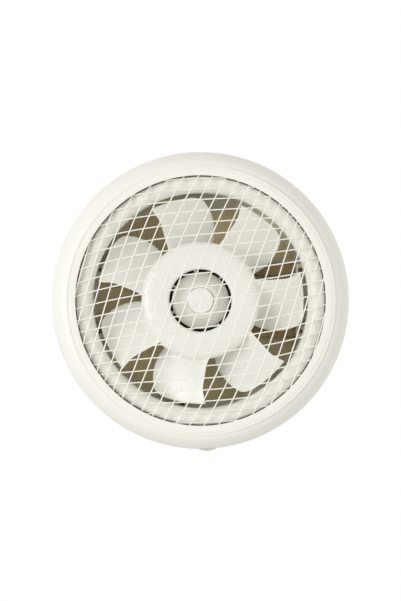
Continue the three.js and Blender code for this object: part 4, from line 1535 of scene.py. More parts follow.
@dataclass(frozen=True)
class Impeller:
    """Seven blades on a hub ring, with an eye, its ribs and a dish."""

    radius: float = 103.3
    blades: int = 7
    first_blade: float = 23.0
    front: float = -19.0
    back: float = 8.0
    thickness: float = 2.0
    camber: float = 3.5
    hub: float = 59.0
    hub_front: float = -25.0
    hub_back: float = 10.0
    wall: float = 2.2
    outer_round: float = 7.0
    shoulder: float = 13.0
    inner_round: float = 3.5
    edge: float = 0.5
    eye: float = 31.0
    eye_depth: float = 11.0
    slot: float = 2.5
    dish_rise: float = 5.5
    dish_step: float = 1.1
    dish_step_width: float = 1.54
    well_edge: float = 0.25
    dish_top: float = 17.6
    rim_depth: float = 7.0
    dish_thickness: float = 3.0
    boss: float = 9.0
    boss_back: float = -13.0
    nut: float = 12.8
    nut_seat: float = 2.5
    shaft: float = 4.0
    rib_width: float = 2.4
    rib_height: float = 4.0
    rib_sink: float = 3.4
    rib_edge: float = 0.3
    first_rib: float = 41.0
    hub_segments: int = 210
    dish_segments: int = 168
    inner_steps: int = 10
    outer_steps: int = 18
    lining_steps: tuple[int, int] = (14, 6)
    step_steps: int = 6
    slope_steps: int = 20
    chord_steps: int = 18
    stations: int = 30
    crowding: float = 1.15
    root_swell: float = 1.1
    root_reach: float = 2.0
    # Distances from the tip, each with a factor on the thickness there
    tip: Outline = ((0.15, 0.75), (0.0, 0.35))
    tip_start: float = 0.5
    # Places from root to tip, with the angles of both edges there
    station_shares: tuple[float, ...] = (0, 0.18, 0.42, 0.66, 0.85, 0.965, 1)
    leading: tuple[float, ...] = (-4.8, -2.2, -0.2, 1.2, 0.7, 0.2, 0)
    trailing: tuple[float, ...] = (40.5, 40.2, 38.6, 35.5, 32, 28.7, 24)

    def between(self, values: Sequence[float], share: float) -> float:
        """A smooth value between the stations.

        Args:
            values: One value for each station.
            share: The place from root to tip.

        Returns:
            The value there.
        """
        shares = self.station_shares
        i = max(k for k in range(len(shares) - 1) if shares[k] <= share + 1e-9)
        width = shares[i + 1] - shares[i]
        t = (share - shares[i]) / width

        def slope(k: int) -> float:
            """The curve's slope at a station."""
            low, high = max(k - 1, 0), min(k + 1, len(shares) - 1)
            return (values[high] - values[low]) / (shares[high] - shares[low])

        square, cube = t * t, t * t * t
        return (
            values[i] * (2 * cube - 3 * square + 1)
            + slope(i) * width * (cube - 2 * square + t)
            + values[i + 1] * (3 * square - 2 * cube)
            + slope(i + 1) * width * (cube - square)
        )

    def section(self, share: float, swell: float) -> list[Vector]:
        """One section of a blade.

        Args:
            share: The place from root to tip.
            swell: Factor on its thickness.

        Returns:
            Points round the section.
        """
        root = self.hub - self.wall / 2
        radius = root + (self.radius - root) * share
        lead, trail = self.between(self.leading, share), self.between(self.trailing, share)
        front, back = [], []
        for i in range(self.chord_steps + 1):
            chord = (1 - math.cos(math.pi * i / self.chord_steps)) / 2
            angle = lead + (trail - lead) * chord
            x, z = on_circle(radius, self.first_blade + angle)
            y = self.front + (self.back - self.front) * angle / self.trailing[0]
            y += self.camber * 4 * chord * (1 - chord)
            half = self.thickness / 2 * swell * math.sqrt(1 - abs(2 * chord - 1) ** 4)
            front.append(Vector((x, y - half, z)))
            if 0 < i < self.chord_steps:
                back.insert(0, Vector((x, y + half, z)))
        return front + back

    def blade(self) -> Shape:
        """The first blade, thick at its root and rounded at its tip.

        Returns:
            Its shape.
        """
        root = self.hub - self.wall / 2
        height = self.radius - root
        rings = []
        for i in range(self.stations + 1):
            share = 1 - (1 - i / self.stations) ** self.crowding
            share = min(share, 1 - self.tip_start / height)
            past = max(0.0, root + height * share - self.hub)
            rings.append(self.section(share, 1 + self.root_swell * math.exp(-past / self.root_reach)))
        rings += [self.section(1 - left / height, swell) for left, swell in self.tip]
        count = len(rings[0])
        points = [p for ring in rings for p in ring]
        faces: list[tuple[int, ...]] = []
        for row in range(len(rings) - 1):
            near, far = row * count, (row + 1) * count
            for i in range(count):
                k = (i + 1) % count
                faces.append((near + i, near + k, far + k, far + i))
        for start in (0, (len(rings) - 1) * count):
            for i in range(self.chord_steps):
                corners = dict.fromkeys((i, i + 1, (count - i - 1) % count, (count - i) % count))
                faces.append(tuple(start + c for c in corners))
        return Shape(points, faces)

    def hub_shape(self) -> Shape:
        """The ring that carries the blades.

        Returns:
            Its shape.
        """
        outer = (self.hub - self.shoulder, self.hub_front + self.outer_round)
        inner = (self.eye + self.inner_round, self.hub_front + self.inner_round)
        slim = self.inner_round - self.wall
        lining = (self.shoulder - self.wall, self.outer_round - self.wall)
        first, second = self.lining_steps
        return revolve([
            (self.eye, self.hub_front + self.eye_depth),
            *arc(inner, (self.inner_round,) * 2, 180, 270, self.inner_steps),
            *arc(outer, (self.shoulder, self.outer_round), 270, 360, self.outer_steps),
            (self.hub, self.hub_back - self.edge),
            (self.hub - self.edge, self.hub_back),
            (self.hub - self.wall, self.hub_back),
            *arc(outer, lining, 360, 270, first),
            *arc(inner, (slim, slim), 270, 180, second),
            (self.eye + self.wall, self.hub_front + self.eye_depth),
        ], self.hub_segments)

    def dish_shape(self) -> Shape:
        """The dish in the eye, with its boss.

        Returns:
            Its shape.
        """
        gap = LAYOUT.gap
        front = self.hub_front - gap
        radius = self.eye - self.slot
        well, bore = self.nut + gap, self.shaft + gap
        seat = front + self.nut_seat
        rim = front + self.dish_rise
        step = (self.dish_step_width, self.dish_step)
        edge = arc((self.dish_top, front + self.dish_step), step, 270, 360, self.step_steps)
        foot = edge[-1][0]
        reach = (radius - foot, self.dish_rise - self.dish_step)
        slope = arc((foot, rim), reach, 270, 360, self.slope_steps)
        return revolve([
            (bore, self.boss_back),
            (bore, seat),
            (well, seat),
            (well, front + self.well_edge),
            (well + self.well_edge, front),
            *edge,
            *slope[1:],
            (radius, rim + self.rim_depth),
            (radius - self.wall, rim + self.rim_depth),
            (radius - self.wall, rim + self.dish_thickness),
            (self.boss, seat + self.dish_thickness),
            (self.boss, self.boss_back),
        ], self.dish_segments)

    def rib(self) -> Shape:
        """One rib between the dish and the ring.

        Returns:
            Its shape, at the top.
        """
        inner = self.eye - self.slot - self.wall / 2
        outer = self.eye + self.wall / 2
        front = self.hub_front - LAYOUT.gap + self.dish_rise + self.rib_sink
        size = (self.rib_width, self.rib_height, outer - inner)
        return block(size, (0, front + self.rib_height / 2, (outer + inner) / 2), self.rib_edge)

    def build(self) -> None:
        """Make the impeller."""
        blades = around(self.blade(), self.blades)
        body = self.hub_shape().fused_with(blades)
        ribs = around(self.rib(), self.blades, self.first_rib)
        shape = together(body, ribs)
        piece(shape, "blades", ["impeller"], Finishes.impeller, Body.ROTOR, sharp=40)
        piece(self.dish_shape(), "dish", ["impeller"], Finishes.dish, Body.ROTOR)


@dataclass(frozen=True)
class SpinnerNut:
    """Round nut in the middle of the dish, with a shallow slot."""

    radius: float = 12.8
    seat: float = -22.8
    thickness: float = 4.6
    crown: float = 1.1
    face_wall: float = 2.0
    shaft: float = 4.0
    slot_width: float = 1.3
    slot_length: float = 15.0
    slot_depth: float = 0.5
    slot_angle: float = 42.0
    slot_edge: float = 0.25
    crown_steps: int = 10
    segments: int = 120

    def build(self) -> None:
        """Make the nut."""
        gap = LAYOUT.gap
        back = self.seat - gap
        front = back - self.thickness
        bore = self.shaft + gap
        end = front + self.face_wall - gap
        middle = (self.radius - self.crown, front + self.crown)
        profile = [
            (0, front),
            *arc(middle, (self.crown,) * 2, 270, 360, self.crown_steps),
            (self.radius, back),
            (bore, back),
            (bore, end),
            (0, end),
        ]
        body = revolve(profile, self.segments, closed=False)
        size = (self.slot_width, self.slot_depth * 2, self.slot_length)
        slot = block(size, (0, front, 0), self.slot_edge).turned(self.slot_angle)
        piece(body.cut_by(slot), "nut", ["spinner_nut"], Finishes.impeller, Body.ROTOR)


@dataclass(frozen=True)
class IndoorFrame:
    """Flange and upstand on the room side of the pane."""

    clearance: float = 1.2

    def build(self) -> None:
        """Make the frame with its screw holes and the way for the lead."""
        lay = LAYOUT
        inner = lay.barrel_outer + self.clearance
        stand = lay.rim_inner + lay.gap
        profile = rounded([
            (inner, lay.frame_back),
            (inner, lay.frame_front),
            (stand, lay.frame_front),
            (stand, lay.rim_back + lay.gap),
            (lay.rim_outer, lay.rim_back + lay.gap),
            (lay.rim_outer, lay.frame_front),
            (lay.frame_radius, lay.frame_front),
            (lay.frame_radius, lay.frame_back),
        ], lay.edge)
        holes = lay.at_clamps(lay.drill(lay.frame_front, lay.frame_back))
        body = revolve(profile).cut_by(holes).cut_by(Lead().way())
        piece(body, "indoor_flange", ["indoor_frame"], Finishes.case)


@dataclass(frozen=True)
class Gaskets:
    """Foam rings on both faces of the pane."""

    width: float = 16.0
    inset: float = 1.9
    edge: float = 0.5

    def build(self) -> None:
        """Make both gaskets."""
        lay = LAYOUT
        outer = lay.frame_radius - self.inset
        inner = outer - self.width
        places = [("indoor_gasket", -lay.gasket), ("outdoor_gasket", lay.pane)]
        for node, front in places:
            ring = plain_ring(inner, outer, front, front + lay.gasket, self.edge)
            piece(ring, f"{node}_foam", [node], Finishes.gasket)


@dataclass(frozen=True)
class Shutters:
    """Seat, bars and three flaps that hang from rods."""

    hinges: tuple[float, ...] = (90.0, 33.0, -33.0)
    thickness: float = 1.6
    edge_clearance: float = 5.0
    lap: float = 2.4
    bottom_flat: float = 1.5
    rod_radius: float = 1.5
    barrel_wall: float = 0.8
    ear_thickness: float = 3.0
    ear_height: float = 6.0
    seat_width: float = 8.0
    rib_height: float = 0.9
    rib_width: float = 2.2
    rib_shares: tuple[float, ...] = (0.3, 0.62, 0.9)
    rib_lap: float = 1.5
    rib_margin: float = 6.0
    flap_edge: float = 0.35
    flap_steps: int = 40
    sleeve_edge: float = 0.25
    sleeve_segments: int = 32

    @property
    def front(self) -> float:
        """Front face of the flaps."""
        return LAYOUT.tunnel_end + LAYOUT.gap

    @property
    def middle(self) -> float:
        """Middle plane of the flaps."""
        return self.front + self.thickness / 2

    @property
    def radius(self) -> float:
        """Radius of the flaps' round edge."""
        return LAYOUT.tunnel_inner - self.edge_clearance

    @property
    def bore(self) -> float:
        """Bore of the flaps' sleeves."""
        return self.rod_radius + LAYOUT.gap

    @property
    def barrel(self) -> float:
        """Outer radius of the flaps' sleeves."""
        return self.bore + self.barrel_wall

    def half_width(self, height: float) -> float:
        """Half the flaps' width at a height."""
        return math.sqrt(self.radius**2 - height**2)

    def ear_start(self, hinge: float) -> float:
        """Inner face of the ears at a hinge."""
        corner = self.ear_height / math.sqrt(2) + LAYOUT.gap
        return self.half_width(abs(hinge) - corner) + 2 * LAYOUT.gap

    def bar_bottom(self, hinge: float) -> float:
        """Lowest place of the seat's bar over a hinge."""
        return hinge + self.barrel + 3 * LAYOUT.gap

    def sleeve(self, hinge: float) -> Shape:
        """The sleeve of a flap.

        Args:
            hinge: The hinge's height.

        Returns:
            Its shape.
        """
        opening = LAYOUT.tunnel_inner - self.seat_width - LAYOUT.gap
        height = abs(hinge) + self.barrel
        reach = math.sqrt(opening**2 - height**2) - 2 * LAYOUT.gap
        corners = [(self.bore, -reach), (self.barrel, -reach), (self.barrel, reach), (self.bore, reach)]
        sleeve = revolve(rounded(corners, self.sleeve_edge), self.sleeve_segments)
        return sleeve.along_x().moved(0, self.middle, hinge)

    def flap(self, hinge: float, bottom: float) -> Shape:
        """One flap with its sleeve and stiffening ribs.

        Args:
            hinge: The hinge's height.
            bottom: Its lower edge.

        Returns:
            Its shape.
        """
        top = hinge - self.bore - self.barrel_wall / 2
        low, high = (math.degrees(math.asin(z / self.radius)) for z in (bottom, top))
        right = arc((0, 0), (self.radius, self.radius), high, low, self.flap_steps)
        outline = right + [(-x, z) for x, z in reversed(right)]
        back = self.front + self.thickness
        plate = bevelled(prism(outline, self.front, back), self.flap_edge, steps=2, angle=50)
        ribs = []
        for share in self.rib_shares:
            z = top + (bottom - top) * share
            length = 2 * (self.half_width(abs(z) + self.rib_lap) - self.rib_margin)
            size = (length, self.rib_height * 2, self.rib_width)
            ribs.append(block(size, (0, back, z)))
        return together(plate, self.sleeve(hinge), *ribs)

    def build(self) -> None:
        """Make the flaps and their rods."""
        top, middle, low = self.hinges
        flaps = [
            ("top", top, middle + self.barrel + self.lap, Body.FLAP_TOP),
            ("middle", middle, low + self.barrel + self.lap, Body.FLAP_MIDDLE),
            ("bottom", low, self.bottom_flat - self.radius, Body.FLAP_BOTTOM),
        ]
        for name, hinge, bottom, body in flaps:
            flap = self.flap(hinge, bottom)
            piece(flap, f"flap_{name}", [f"shutter_flap_{name}"], Finishes.flap, body)
            reach = self.ear_start(hinge) + self.ear_thickness
            bar = rod(self.rod_radius, -reach, reach).along_x().moved(0, self.middle, hinge)
            piece(bar, f"rod_{name}", [f"hinge_rod_{name}"], Finishes.steel)


@dataclass(frozen=True)
class MotorRails:
    """Rails that carry the motor."""

    height: float = 12.5
    thickness: float = 2.5
    centre: float = 31.0
    lug_length: float = 9.0
    lug_depth: float = 12.0
    motor_screw: float = 18.0
    lug_inset: float = 0.8
    bead_depth: float = 1.2
    bead_height: float = 3.2
    bead_edge: float = 0.55
    # Places and lengths of the pressed beads
    beads: Outline = ((-59.5, 62), (0, 22), (59.5, 62))

    @property
    def reach(self) -> float:
        """Half the rails' length."""
        corner = self.centre + self.height / 2
        return math.sqrt(LAYOUT.tunnel_inner**2 - corner**2) - LAYOUT.gap

    @property
    def screw_x(self) -> float:
        """How far the end screws lie from the middle."""
        return self.reach - self.lug_length / 2

    @property
    def front(self) -> float:
        """Front face of the rails."""
        return LAYOUT.motor_back + LAYOUT.gap

    @property
    def back(self) -> float:
        """Back face of the rails."""
        return self.front + self.thickness

    def lugs(self) -> list[Shape]:
        """The lugs in the tunnel that carry the rails.

        Returns:
            Four blocks that end inside the tunnel's wall.
        """
        end = LAYOUT.tunnel_outer - self.lug_inset
        start = self.reach - self.lug_length
        far = math.sqrt(end**2 - (self.centre + self.height / 2) ** 2)
        size = (far - start, self.lug_depth, self.height)
        x, y = (start + far) / 2, LAYOUT.motor_back - self.lug_depth / 2
        return [block(size, (a * x, y, b * self.centre)) for a in (-1, 1) for b in (-1, 1)]

    def build(self) -> None:
        """Make both rails, each with pressed beads."""
        for name, side in (("upper", 1), ("lower", -1)):
            z = side * self.centre
            middle = (self.front + self.back) / 2
            bar = block((2 * self.reach, self.thickness, self.height), (0, middle, z))
            hole = LAYOUT.drill(self.front, self.back)
            places = (-self.screw_x, -self.motor_screw, self.motor_screw, self.screw_x)
            holes = [hole.moved(x, 0, z) for x in places]
            depth, height = self.bead_depth, self.bead_height
            beads = [
                block((length, depth, height), (x, self.back, z), self.bead_edge)
                for x, length in self.beads
            ]
            body = together(bar.cut_by(*holes), *beads)
            # The rails' dark olive-brown is partly painted shade
            piece(body, f"rail_{name}", [f"motor_rail_{name}"], Finishes.zinc_and_shade)


@dataclass(frozen=True)
class OutdoorFrame:
    """Flange, tunnel and shutter seat on the open-air side."""

    clamp_boss: float = 4.2
    boss_length: float = 13.7
    boss_sink: float = 0.2
    bar_height: float = 6.0
    bar_margin: float = 4.0
    ear_sink: float = 0.4
    skin: float = 0.1
    top_steps: int = 40

    def additions(self, shutters: Shutters, rails: MotorRails) -> list[Shape]:
        """What stands on the frame's shell.

        Args:
            shutters: The shutters that it seats.
            rails: The rails that it carries.

        Returns:
            The bosses, bars, ears, lugs and the closed part over the top flap.
        """
        lay = LAYOUT
        foot, end = lay.outdoor_front + self.boss_sink, lay.outdoor_front + self.boss_length
        shapes = [lay.at_clamps(rod(self.clamp_boss, foot, end)), *rails.lugs()]
        for hinge in shutters.hinges[1:]:
            height = shutters.bar_bottom(hinge) + self.bar_height / 2
            reach = math.sqrt((lay.tunnel_inner - self.bar_margin) ** 2 - height**2)
            size = (2 * reach, lay.seat_thickness - self.skin, self.bar_height)
            shapes.append(block(size, (0, (lay.seat_front + lay.tunnel_end) / 2, height), lay.edge))
        back = shutters.middle + shutters.ear_height / 2
        start = lay.seat_front + self.ear_sink
        size = (shutters.ear_thickness, back - start, shutters.ear_height)
        for hinge in shutters.hinges:
            middle = shutters.ear_start(hinge) + shutters.ear_thickness / 2
            shapes += [block(size, (x, (back + start) / 2, hinge)) for x in (-middle, middle)]
        bottom = shutters.bar_bottom(shutters.hinges[0])
        edge = lay.tunnel_inner + PAST
        angle = math.degrees(math.asin(bottom / edge))
        outline = arc((0, 0), (edge, edge), angle, 180 - angle, self.top_steps)
        shapes.append(prism(outline, lay.seat_front + self.skin, lay.tunnel_end - self.skin))
        return shapes

    def build(self, shutters: Shutters, rails: MotorRails) -> None:
        """Make the frame.

        Args:
            shutters: The shutters that it seats.
            rails: The rails that it carries.
        """
        lay = LAYOUT
        seat = lay.tunnel_inner - shutters.seat_width
        body = revolve(rounded([
            (lay.tunnel_inner, lay.outdoor_front),
            (lay.frame_radius, lay.outdoor_front),
            (lay.frame_radius, lay.outdoor_back),
            (lay.tunnel_outer, lay.outdoor_back),
            (lay.tunnel_outer, lay.tunnel_end),
            (seat, lay.tunnel_end),
            (seat, lay.seat_front),
            (lay.tunnel_inner, lay.seat_front),
        ], lay.edge))
        for shape in self.additions(shutters, rails):
            body = body.fused_with(shape)
        lug_front = lay.motor_back - rails.lug_depth
        holes = [
            lay.at_clamps(lay.drill(lay.outdoor_front, lay.outdoor_front + self.boss_length)),
            lay.at_hood_screws(lay.drill(lay.outdoor_front, lay.outdoor_back)),
            at_corners(lay.drill(lug_front, lay.motor_back), rails.screw_x, rails.centre),
        ]
        bore = rod(lay.tunnel_inner, lay.outdoor_front - PAST, lay.outdoor_back + lay.edge, 0, SEGMENTS)
        axle = rod(shutters.bore, -lay.tunnel_outer, lay.tunnel_outer, 0).along_x()
        axles = [axle.moved(0, shutters.middle, hinge) for hinge in shutters.hinges]
        body = body.cut_by(bore).cut_by(*holes).cut_by(*axles).cut_by(Lead().way())
        piece(body, "outdoor_flange", ["outdoor_frame"], Finishes.outdoor)


@dataclass(frozen=True)
class Hood:
    """Outdoor hood with slats across its mouth."""

    depth: float = 114.7
    front_inset: float = 9.9
    back_inset: float = 15.9
    wall: float = 2.0
    flange: float = 2.2
    corner: float = 6.0
    mouth: float = 110.0
    slats: int = 7
    slat_width: float = 20.0
    slat_thickness: float = 1.6
    slat_tilt: float = 40.0
    slat_overlap: float = 6.0
    groove: float = 0.45
    groove_top: float = 0.9
    groove_floor: float = 0.3
    groove_shares: tuple[float, ...] = (0.16, 0.22, 0.28, 0.72, 0.78, 0.84)
    # Points (radius, y) where the wall leaves the flange
    foot: Outline = ((1.2, 0), (0.3, 0.35), (0, 1.4))
    mouth_front: float = 0.3
    mouth_back: float = 0.6
    corner_steps: int = 14
    lining_steps: int = 10
    nose_steps: int = 8

    @property
    def back(self) -> float:
        """Back face of the hood."""
        return LAYOUT.hood_front + self.depth

    def profile(self) -> Profile:
        """The hood's section, with fine grooves round its wall.

        Returns:
            Points (radius, y).
        """
        lay = LAYOUT
        front = lay.frame_radius - self.front_inset
        rear = lay.frame_radius - self.back_inset
        start = lay.hood_front + self.flange
        end = self.back - self.corner
        top, floor = self.groove_top, self.groove_floor
        groove = [(0, -top), (-self.groove, -floor), (-self.groove, floor), (0, top)]
        middle, inside = (rear - self.corner, end), self.corner - self.wall
        wall = shifted(self.foot, front, start)
        for share in self.groove_shares:
            wall += shifted(groove, front + (rear - front) * share, start + (end - start) * share)
        return [
            (front - self.wall, lay.hood_front),
            (lay.frame_radius - lay.edge, lay.hood_front),
            (lay.frame_radius, lay.hood_front + lay.edge),
            (lay.frame_radius, start - lay.edge),
            (lay.frame_radius - lay.edge, start),
            *wall,
            *arc(middle, (self.corner, self.corner), 0, 90, self.corner_steps),
            (self.mouth + self.mouth_back, self.back),
            (self.mouth, self.back - self.mouth_back),
            (self.mouth, self.back - self.wall + self.mouth_front),
            (self.mouth + self.mouth_front, self.back - self.wall),
            *arc(middle, (inside, inside), 90, 0, self.lining_steps),
        ]

    def slat(self) -> Shape:
        """A slat of unit length, in metres, tilted to shed rain.

        Returns:
            Its shape.
        """
        half, thick = self.slat_width / 2, self.slat_thickness / 2
        nose = arc((half - thick, 0), (thick, thick), -90, 90, self.nose_steps)
        outline = nose + [(-y, -z) for y, z in nose]
        tilt = math.radians(self.slat_tilt)
        along, across = math.cos(tilt), math.sin(tilt)
        turned = [(y * along + z * across, z * along - y * across) for y, z in outline]
        depth = self.slat_width * along + self.slat_thickness * across
        middle = self.back - self.wall - LAYOUT.gap - depth / 2
        count = len(turned)
        half_metre = 0.5 / MM
        points = [Vector((x, middle + y, z)) for x in (-half_metre, half_metre) for y, z in turned]
        faces: list[tuple[int, ...]] = [tuple(range(count)), tuple(reversed(range(count, 2 * count)))]
        faces += [(i, count + i, count + (i + 1) % count, (i + 1) % count) for i in range(count)]
        return Shape(points, faces)

    def build(self) -> None:
        """Make the hood and its slats."""
        lay = LAYOUT
        holes = lay.at_hood_screws(lay.drill(lay.hood_front, lay.hood_front + self.flange))
        piece(revolve(self.profile()).cut_by(holes), "hood", ["outdoor_hood"], Finishes.outdoor)
        rows = grown(
            self.slat(),
            rows_tree(),
            Count=self.slats,
            Pitch=2 * self.mouth / self.slats * MM,
            Reach=(self.mouth + self.slat_overlap) * MM,
            Drop=self.slat_width * math.sin(math.radians(self.slat_tilt)) / 2 * MM,
        )
        nodes = [f"louvre_slat_{i + 1}" for i in range(self.slats)]
        piece(rows, "slats", nodes, Finishes.outdoor)


@dataclass(frozen=True)
class Screws:
    """All screws, each with a cross recess and a ridged shank."""

    radius: float = 2.0
    head: float = 3.2
    head_height: float = 2.2
    grip: float = 6.0
    clamp_length: float = 25.0
    ridge: float = 0.3
    pitch: float = 1.1
    # Points of the head, as shares of its radius and height
    dome: Outline = ((0, -1), (0.5, -0.98), (0.82, -0.8), (0.97, -0.5), (1, -0.2), (1, 0))
    thread_start: float = 1.2
    thread_end: float = 1.0
    # Where a ridge has its top and its foot, as shares of the pitch
    ridge_top: float = 0.35
    ridge_foot: float = 0.8
    point: float = 0.6
    point_share: float = 0.7
    recess: Triple = (0.7, 1.8, 3.4)
    recess_edge: float = 0.1
    segments: int = 36

    def screw(self, length: float) -> Shape:
        """A screw whose head lies at y below zero.

        Args:
            length: Its shank's length.

        Returns:
            Its shape.
        """
        shank: Profile = []
        y = self.thread_start
        while y + self.pitch < length - self.thread_end:
            shank.append((self.radius, y + self.pitch * self.ridge_top))
            shank.append((self.radius - self.ridge, y + self.pitch * self.ridge_foot))
            y += self.pitch
        profile = [
            *((self.head * out, self.head_height * up) for out, up in self.dome),
            (self.radius, 0),
            *shank,
            (self.radius, length - self.point),
            (self.radius * self.point_share, length),
            (0, length),
        ]
        top = (0, -self.head_height, 0)
        sizes = (self.recess, self.recess[::-1])
        upright, level = (block(size, top, self.recess_edge) for size in sizes)
        return revolve(profile, self.segments, closed=False).cut_by(upright.fused_with(level))

    def build(self, rails: MotorRails, hood: Hood, motor_wall: float) -> None:
        """Make the four sets of screws.

        Args:
            rails: The rails that two of the sets hold.
            hood: The hood that one set holds.
            motor_wall: Thickness of the motor's back.
        """
        lay = LAYOUT
        seat = rails.back + lay.gap
        hood_seat = lay.hood_front + hood.flange + lay.gap
        rail = self.screw(rails.thickness + self.grip).flipped().moved(y=seat)
        motor = self.screw(rails.thickness + motor_wall + 2 * lay.gap).flipped().moved(y=seat)
        clamp = self.screw(self.clamp_length).moved(y=lay.frame_front - lay.gap)
        short = self.screw(hood.flange + lay.flange).flipped().moved(y=hood_seat)
        sets = [
            ("rail_screw", at_corners(rail, rails.screw_x, rails.centre), 4),
            ("motor_screw", at_corners(motor, rails.motor_screw, rails.centre), 4),
            ("clamp_screw", lay.at_clamps(clamp), lay.clamps),
            ("hood_screw", lay.at_hood_screws(short), lay.hood_screws),
        ]
        for name, shape, count in sets:
            nodes = [f"{name}_{i + 1}" for i in range(count)]
            # The rail screws take the steel with painted shade
            finish = Finishes.screw_shade_steel if name == "rail_screw" else Finishes.steel
            piece(shape, f"{name}s", nodes, finish, sharp=28)


@dataclass(frozen=True)
class Motor:
    """Motor with its shells, cores, windings, bearings and shaft."""

    radius: float = 42.0
    front: float = -8.0
    length: float = 44.0
    wall: float = 2.2
    round: float = 2.5
    split_share: float = 0.45
    bearing: float = 9.0
    bearing_length: float = 5.8
    housing_wall: float = 2.2
    shaft_hole: float = 5.2
    shaft: float = 4.0
    rotor: float = 24.5
    air_gap: float = 0.5
    core_front: float = 4.0
    core_length: float = 20.0
    winding_depth: float = 10.0
    winding_height: float = 5.6
    pin: float = 1.0
    pin_length: float = 16.0
    boss_back: float = -13.0
    shaft_front: float = -25.7
    vents: int = 18
    vent_width: float = 3.2
    front_vents: tuple[float, float] = (22, 34)
    rear_vents: tuple[float, float] = (17, 24)
    core_edge: float = 0.3
    winding_edge: float = 2.0
    race: float = 1.3
    race_sink: float = 0.5
    race_edge: float = 0.2
    edge: float = 0.6
    face_segments: int = 144
    race_segments: int = 96
    shaft_segments: int = 64

    @property
    def split(self) -> float:
        """Where the two shells meet."""
        return self.front + self.length * self.split_share

    @property
    def back(self) -> float:
        """Back face of the motor."""
        return self.front + self.length

    def slots(self, y: float, reach: tuple[float, float]) -> Shape:
        """The vents to be cut round the axis.

        Args:
            y: Middle of the wall that they are cut in.
            reach: Their inner and outer ends.

        Returns:
            Their shape.
        """
        size = (self.vent_width, self.wall * 3, reach[1] - reach[0])
        return around(block(size, (0, y, sum(reach) / 2), 0), self.vents)

    def shells(self) -> None:
        """Make both shells, with vents in their flat walls."""
        gap = LAYOUT.gap
        inner_bore = self.bearing + gap
        outer_bore = inner_bore + self.housing_wall
        inner = self.radius - self.wall
        plate = self.front + self.wall
        front = rounded([
            (self.shaft_hole, self.front),
            (self.radius - self.round, self.front),
            (self.radius, self.front + self.round),
            (self.radius, self.split),
            (inner, self.split),
            (inner, plate),
            (outer_bore, plate),
            (outer_bore, plate + self.bearing_length),
            (inner_bore, plate + self.bearing_length),
            (inner_bore, plate),
            (self.shaft_hole, plate),
        ], self.edge)
        slots = self.slots(self.front + self.wall / 2, self.front_vents)
        body = revolve(front, self.face_segments).cut_by(slots)
        piece(body, "motor_front", ["motor_front_shell"], Finishes.motor)
        end = self.back - self.wall
        rear = rounded([
            (0, end),
            (inner_bore, end),
            (inner_bore, end - self.bearing_length),
            (outer_bore, end - self.bearing_length),
            (outer_bore, end),
            (inner, end),
            (inner, self.split + gap),
            (self.radius, self.split + gap),
            (self.radius, self.back - self.round),
            (self.radius - self.round, self.back),
            (0, self.back),
        ], self.edge, closed=False)
        rails = MotorRails()
        holes = at_corners(LAYOUT.drill(end, self.back), rails.motor_screw, rails.centre)
        slots = self.slots(self.back - self.wall / 2, self.rear_vents)
        body = revolve(rear, self.face_segments, closed=False).cut_by(holes).cut_by(slots)
        piece(body, "motor_rear", ["motor_rear_shell"], Finishes.motor)

    def inside(self) -> None:
        """Make the cores, windings and bearings."""
        gap = LAYOUT.gap
        core_back = self.core_front + self.core_length
        outer = self.radius - self.wall - gap
        bore = self.rotor + self.air_gap
        stator = plain_ring(bore, outer, self.core_front, core_back, self.core_edge)
        piece(stator, "stator", ["stator_core"], Finishes.core)
        rotor = plain_ring(self.shaft + gap, self.rotor, self.core_front, core_back, self.core_edge)
        piece(rotor, "rotor", ["rotor_core"], Finishes.core, Body.ROTOR)
        inner = (bore + outer - self.winding_depth) / 2
        wide = inner + self.winding_depth
        first = self.core_front - gap - self.winding_height
        for node, front in (("front_winding", first), ("rear_winding", core_back + gap)):
            back = front + self.winding_height
            ring = plain_ring(inner, wide, front, back, self.winding_edge)
            piece(ring, f"{node}_coil", [node], Finishes.winding)
        first = self.front + self.wall + gap
        last = self.back - self.wall - gap - self.bearing_length
        low, high = self.shaft + gap, self.bearing
        for node, front in (("front_bearing", first), ("rear_bearing", last)):
            back = front + self.bearing_length
            section = [(low, front)]
            section += [(low + self.race, y) for y in (front, front + self.race_sink)]
            section += [(high - self.race, y) for y in (front + self.race_sink, front)]
            section += [(high, front), (high, back)]
            section += [(high - self.race, y) for y in (back, back - self.race_sink)]
            section += [(low + self.race, y) for y in (back - self.race_sink, back)]
            section.append((low, back))
            ring = revolve(rounded(section, self.race_edge), self.race_segments)
            piece(ring, f"{node}_race", [node], Finishes.steel)

    def shaft_and_pin(self) -> None:
        """Make the shaft with its cross hole, and the pin in it."""
        gap = LAYOUT.gap
        pin_y = self.boss_back + self.pin + gap
        end = self.back - self.wall - gap
        bar = rod(self.shaft, self.shaft_front, end, self.edge, self.shaft_segments)
        reach = self.pin_length / 2
        hole = rod(self.pin + gap, -reach, reach, 0).along_x().moved(y=pin_y)
        piece(bar.cut_by(hole), "shaft", ["motor_shaft"], Finishes.steel, Body.ROTOR)
        pin = rod(self.pin, -reach, reach, self.core_edge).along_x().moved(y=pin_y)
        piece(pin, "pin", ["drive_pin"], Finishes.steel, Body.ROTOR)

    def build(self) -> None:
        """Make the whole motor."""
        self.shells()
        self.inside()
        self.shaft_and_pin()


